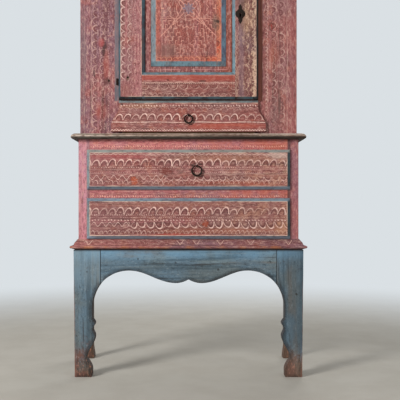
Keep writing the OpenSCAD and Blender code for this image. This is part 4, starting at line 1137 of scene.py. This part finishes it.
def settle(piece, name, material, body, slot, *instead_of):
    """Put place and size in the mesh, smooth it, give it its finish and let it ride on its body."""
    piece.name = name
    take_up(piece)
    bpy.ops.object.transform_apply(location=True, rotation=True, scale=True)
    bpy.ops.object.shade_smooth_by_angle(angle=SMOOTH)
    if material:
        piece.data.materials.clear()
        piece.data.materials.append(material)
    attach(piece, body)
    if instead_of:
        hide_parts(*instead_of)


def modify(piece, kind, **settings):
    """Change a piece for good with one of Blender's modifiers."""
    change = set_all(piece.modifiers.new("change", kind), **settings)
    take_up(piece)
    bpy.ops.object.modifier_apply(modifier=change.name)


def apply_wear(piece, depth, size):
    """Wear a surface in unevenly, never outwards."""
    clouds = bpy.data.textures.new(piece.name + "_wear", "CLOUDS")
    set_all(clouds, noise_scale=size * MM, noise_depth=2)
    modify(piece, "DISPLACE", texture=clouds, texture_coords="LOCAL", mid_level=1.0, strength=depth * MM)


slot_of = {part["node"]: part["material_slot"] for part in frame["record"]["subparts"]}


def settle_for(node, piece, suffix, material=None):
    """Settle a piece that stands in for a carried node."""
    settle(piece, node + suffix, material, body_of[node], slot_of[node], node)


def ease(node, width, shortest, cuts, wear, wear_size):
    """A copy of a carried piece with its arrises rounded by planing and handling, its faces worn."""
    piece = into_scene(node + "_worn", nodes[node].data.copy())
    into_edit(piece)
    bpy.ops.mesh.remove_doubles(threshold=SAME_PLACE)
    bpy.ops.mesh.dissolve_limited(angle_limit=FLAT)
    bpy.ops.mesh.select_mode(type="EDGE")
    bpy.ops.mesh.select_all(action="DESELECT")
    bpy.ops.mesh.edges_select_sharp(sharpness=SHARP)
    bpy.ops.object.mode_set(mode="OBJECT")
    mesh = piece.data
    weights = mesh.attributes.new("bevel_weight_edge", "FLOAT", "EDGE")
    for edge in mesh.edges:
        a, b = (mesh.vertices[i].co for i in edge.vertices)
        weights.data[edge.index].value = float(edge.select and (a - b).length > shortest * MM)
    modify(piece, "BEVEL", width=width * MM, segments=2, limit_method="WEIGHT")
    into_edit(piece)
    for axis, spacing in cuts:
        low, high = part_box(node)
        place = low[axis] + spacing * MM
        while place < high[axis] - LAST_CUT:
            middle, facing = [0.0, 0.0, 0.0], [0.0, 0.0, 0.0]
            middle[axis], facing[axis] = place, 1.0
            bpy.ops.mesh.select_all(action="SELECT")
            bpy.ops.mesh.bisect(plane_co=middle, plane_no=facing)
            place += spacing * MM
    bpy.ops.object.mode_set(mode="OBJECT")
    if wear:
        apply_wear(piece, wear, wear_size)
    settle_for(node, piece, "_worn")
    modify(piece, "WEIGHTED_NORMAL", keep_sharp=True, weight=80)


for names, width, shortest, cuts, wear, wear_size in (
        ("stand_leg_front_left stand_leg_front_right", 1.8, 3, ((2, 22),), 1.4, 45),
        ("stand_front_apron", 1.6, 3, ((0, 24),), 1.2, 50),
        ("stand_leg_rear_left stand_leg_rear_right", 1.6, 30, (), 0, 0),
        ("waist_board", 2.4, 12, ((0, 24), (1, 24)), 1.0, 60),
        ("base_moulding_front cornice_front", 0.9, 12, ((0, 30),), 0.9, 50),
        ("base_moulding_returns cornice_returns", 0.9, 12, (), 0, 0),
        ("upper_drawer_front lower_drawer_front small_drawer_front", 1.0, 30, ((0, 40),), 0.6, 70),
        ("door_stile_left door_stile_right", 0.9, 30, ((2, 40),), 0.5, 70),
        ("door_bottom_rail door_top_rail door_panel", 0.7, 30, (), 0, 0),
        ("cupboard_stile_left cupboard_stile_right chest_stile_left chest_stile_right", 1.2, 40, (), 0, 0),
        ("cupboard_back_planks chest_back_planks shelf cupboard_top_board", 1.4, 40, (), 0, 0),
        ("chest_side_left chest_side_right cupboard_side_left cupboard_side_right", 1.2, 60, (), 0, 0)):
    for node in names.split():
        ease(node, width, shortest, cuts, wear, wear_size)


# Forged iron, in place of the plain solids
def forged_ring(node, thin, thick):
    """A ring bent from a hand-drawn rod: worn thin where it hangs, thick and hammered below."""
    low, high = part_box(node)
    middle = (low + high) / 2
    radius = (high.x - low.x) / 2 - thin * MM
    ring = made(bpy.ops.mesh.primitive_torus_add, major_segments=64, minor_segments=14, major_radius=radius,
                minor_radius=thin * MM, location=middle, rotation=QUARTER_TURN)
    for vertex in ring.data.vertices:
        out = vertex.co - middle
        flat = Vector((out.x, 0, out.z)).normalized()
        core = middle + flat * radius
        sag = 0.5 - 0.5 * flat.z
        turn = math.atan2(out.z, out.x)
        lumps = 0.06 * math.sin(7 * turn) + 0.05 * math.sin(13 * turn + 1)
        swell = 1 + (thick / thin - 1) * min(1.0, sag * 1.6) + lumps * sag
        vertex.co = core + (vertex.co - core) * swell
    settle_for(node, ring, "_forged", iron)


def hand_cut_plate(node):
    """The keyhole's plate: a lobed lozenge cut from sheet, thin at its edge, with a keyhole filed in it."""
    low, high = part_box(node)
    x, z = (low.x + high.x) / 2, (low.z + high.z) / 2
    half_w, half_h, face = (high.x - low.x) / 2, (high.z - low.z) / 2, high.y
    right = [(0, 1.0), (0.16, 0.86), (0.34, 0.72), (0.30, 0.56), (0.52, 0.40), (0.92, 0.22), (1.0, 0.02),
             (0.88, -0.20), (0.58, -0.34), (0.36, -0.50), (0.42, -0.64), (0.20, -0.84), (0, -1.0)]
    outline = right + [(-w * 0.97, h) for w, h in reversed(right[1:-1])]
    plate = made(bpy.ops.mesh.primitive_circle_add, vertices=len(outline), radius=half_w, fill_type="NGON",
                 location=(x, face, z), rotation=QUARTER_TURN)
    for vertex, (w, h) in zip(plate.data.vertices, outline):
        vertex.co = (x + w * half_w, face, z + h * half_h)
    into_edit(plate)
    bpy.ops.mesh.extrude_region_move(TRANSFORM_OT_translate={"value": (0, -1.1 * MM, 0)})
    bpy.ops.mesh.inset(thickness=3.2 * MM, depth=0)
    bpy.ops.transform.translate(value=(0, -0.8 * MM, 0))
    bpy.ops.mesh.select_all(action="SELECT")
    bpy.ops.mesh.normals_make_consistent(inside=False)
    bpy.ops.object.mode_set(mode="OBJECT")
    hole = made(bpy.ops.mesh.primitive_cylinder_add, vertices=24, radius=4.5 * MM, depth=0.02,
                location=(x, face, z), rotation=QUARTER_TURN)
    slot = made(bpy.ops.mesh.primitive_cube_add, size=1.0, location=(x, face, z - 8 * MM),
                scale=(6 * MM, 0.02, 16 * MM))
    for cutter in (hole, slot):
        modify(plate, "BOOLEAN", operation="DIFFERENCE", object=cutter, solver="EXACT")
        take_up(cutter)
        bpy.ops.object.delete()
    settle_for(node, plate, "_hand_cut", iron)


def nail_heads(name, body, radius, places):
    """Hammered nail heads a millimetre proud of the wood: one is made, the rest are copies of it."""
    first = made(bpy.ops.mesh.primitive_uv_sphere_add, segments=12, ring_count=7, radius=radius * MM,
                 scale=(1.0, 0.3, 0.94))
    into_edit(first)
    bpy.ops.transform.vertex_random(offset=0.35 * MM, seed=5)
    bpy.ops.object.mode_set(mode="OBJECT")
    for count, place in enumerate(places):
        head = into_scene("nail_head", first.data.copy())
        head.location = place
        settle(head, name + "_" + str(count + 1), iron, body, "black_iron")
    take_up(first)
    bpy.ops.object.delete()


forged_ring("upper_drawer_ring", 2.2, 3.5)
forged_ring("small_drawer_ring", 2.2, 3.2)
hand_cut_plate("escutcheon")
stile_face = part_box("cupboard_stile_left")[0].y
door_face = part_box("door_stile_left")[0].y
hinge_low, hinge_high = (corner.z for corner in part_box("hinge_pintles"))
nail_heads("stile_nail", "case", 4.5, [(-0.320, stile_face, hinge_low + 0.018),
                                       (-0.324, stile_face, hinge_high - 0.020)])
nail_heads("door_nail", "door", 4.0, [(-0.242, door_face, hinge_low + 0.026),
                                      (-0.240, door_face, hinge_high - 0.026)])


# Floor, light and camera
FLOOR_RADIUS = 9.0
FLOOR_FADE = (1.1, 3.6)


def shown_instead(tree, output, lit, backdrop, amount=None):
    """Join two shaders: the camera and the gloss see the backdrop, all other light comes from lit."""
    path = add(tree, "ShaderNodeLightPath")
    kinds = ("Camera", "Glossy", "Transmission")
    seen = highest(*(Value(path.outputs[f"Is {kind} Ray"]) for kind in kinds))
    blend = add(tree, "ShaderNodeMixShader")
    put(blend.inputs[0], amount * seen if amount else seen)
    put(blend.inputs[1], lit.outputs[0])
    put(blend.inputs[2], backdrop.outputs[0])
    put(backdrop.inputs["Color"], linear(BACKDROP_TONE))
    put(tree.nodes[output].inputs["Surface"], blend.outputs[0])


def make_floor():
    """Pale matt floor that keeps the shadow and fades into the backdrop."""
    floor = made(bpy.ops.mesh.primitive_circle_add, vertices=96, radius=FLOOR_RADIUS,
                 fill_type="NGON")
    floor.name = "floor"
    f = Finish("pale_floor")
    f.colour = FLOOR_TONE
    f.tint(step(f.cloud, 0.35, 0.65), (184, 178, 166), 0.5)
    f.close((0.8, 0.9), 0.2, 0.1)
    far = step(length(f.x, f.y), *FLOOR_FADE)
    shown_instead(f.tree, "Material Output", f.shader, add(f.tree, "ShaderNodeEmission"), far)
    floor.data.materials.append(f.material)


def make_world(strength):
    """Soft cool light from all round."""
    world = bpy.context.scene.world = bpy.data.worlds.new("soft_room")
    world.use_nodes = True
    tree = world.node_tree
    light = tree.nodes["Background"]
    put(light.inputs["Color"], (0.94, 0.97, 1.0, 1.0))
    put(light.inputs["Strength"], strength)
    shown_instead(tree, "World Output", light, add(tree, "ShaderNodeBackground"))


def soft_lamp(name, place, target, size, power):
    data = set_all(bpy.data.lights.new(name, "AREA"), shape="DISK", size=size, energy=power)
    lamp = into_scene(name, data)
    lamp.location = place
    lamp.rotation_euler = (Vector(target) - Vector(place)).to_track_quat("-Z", "Y").to_euler()


def make_camera():
    """Level camera in front, a little above the stand, as the photo was taken."""
    pixel = 0.004
    frame_px, middle_px = 400, 188.5
    axis_x_px, horizon_px = 190.0, 208.0
    floor_px = 376.4
    distance, sensor = 2.95, 36.0
    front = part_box("chest_stile_left")[0].y
    data = set_all(bpy.data.cameras.new("camera"), sensor_width=sensor,
                   lens=sensor * distance / (frame_px * pixel),
                   shift_x=(frame_px / 2 - axis_x_px) / frame_px,
                   shift_y=(horizon_px - frame_px / 2) / frame_px)
    camera = bpy.context.scene.camera = into_scene("camera", data)
    camera.location = ((axis_x_px - middle_px) * pixel, front - distance, (floor_px - horizon_px) * pixel)
    camera.rotation_euler = QUARTER_TURN


bpy.context.scene.view_settings.view_transform = "Standard"
make_floor()
make_world(0.30)
soft_lamp("key", (-2.6, -3.0, 2.3), (0, 0, 0.9), 1.1, 128.0)
soft_lamp("fill", (2.6, -2.4, 1.4), (0, 0, 0.9), 2.4, 14.0)
soft_lamp("back", (0.8, 2.8, 2.6), (0, 0, 1.0), 2.0, 40.0)
make_camera()
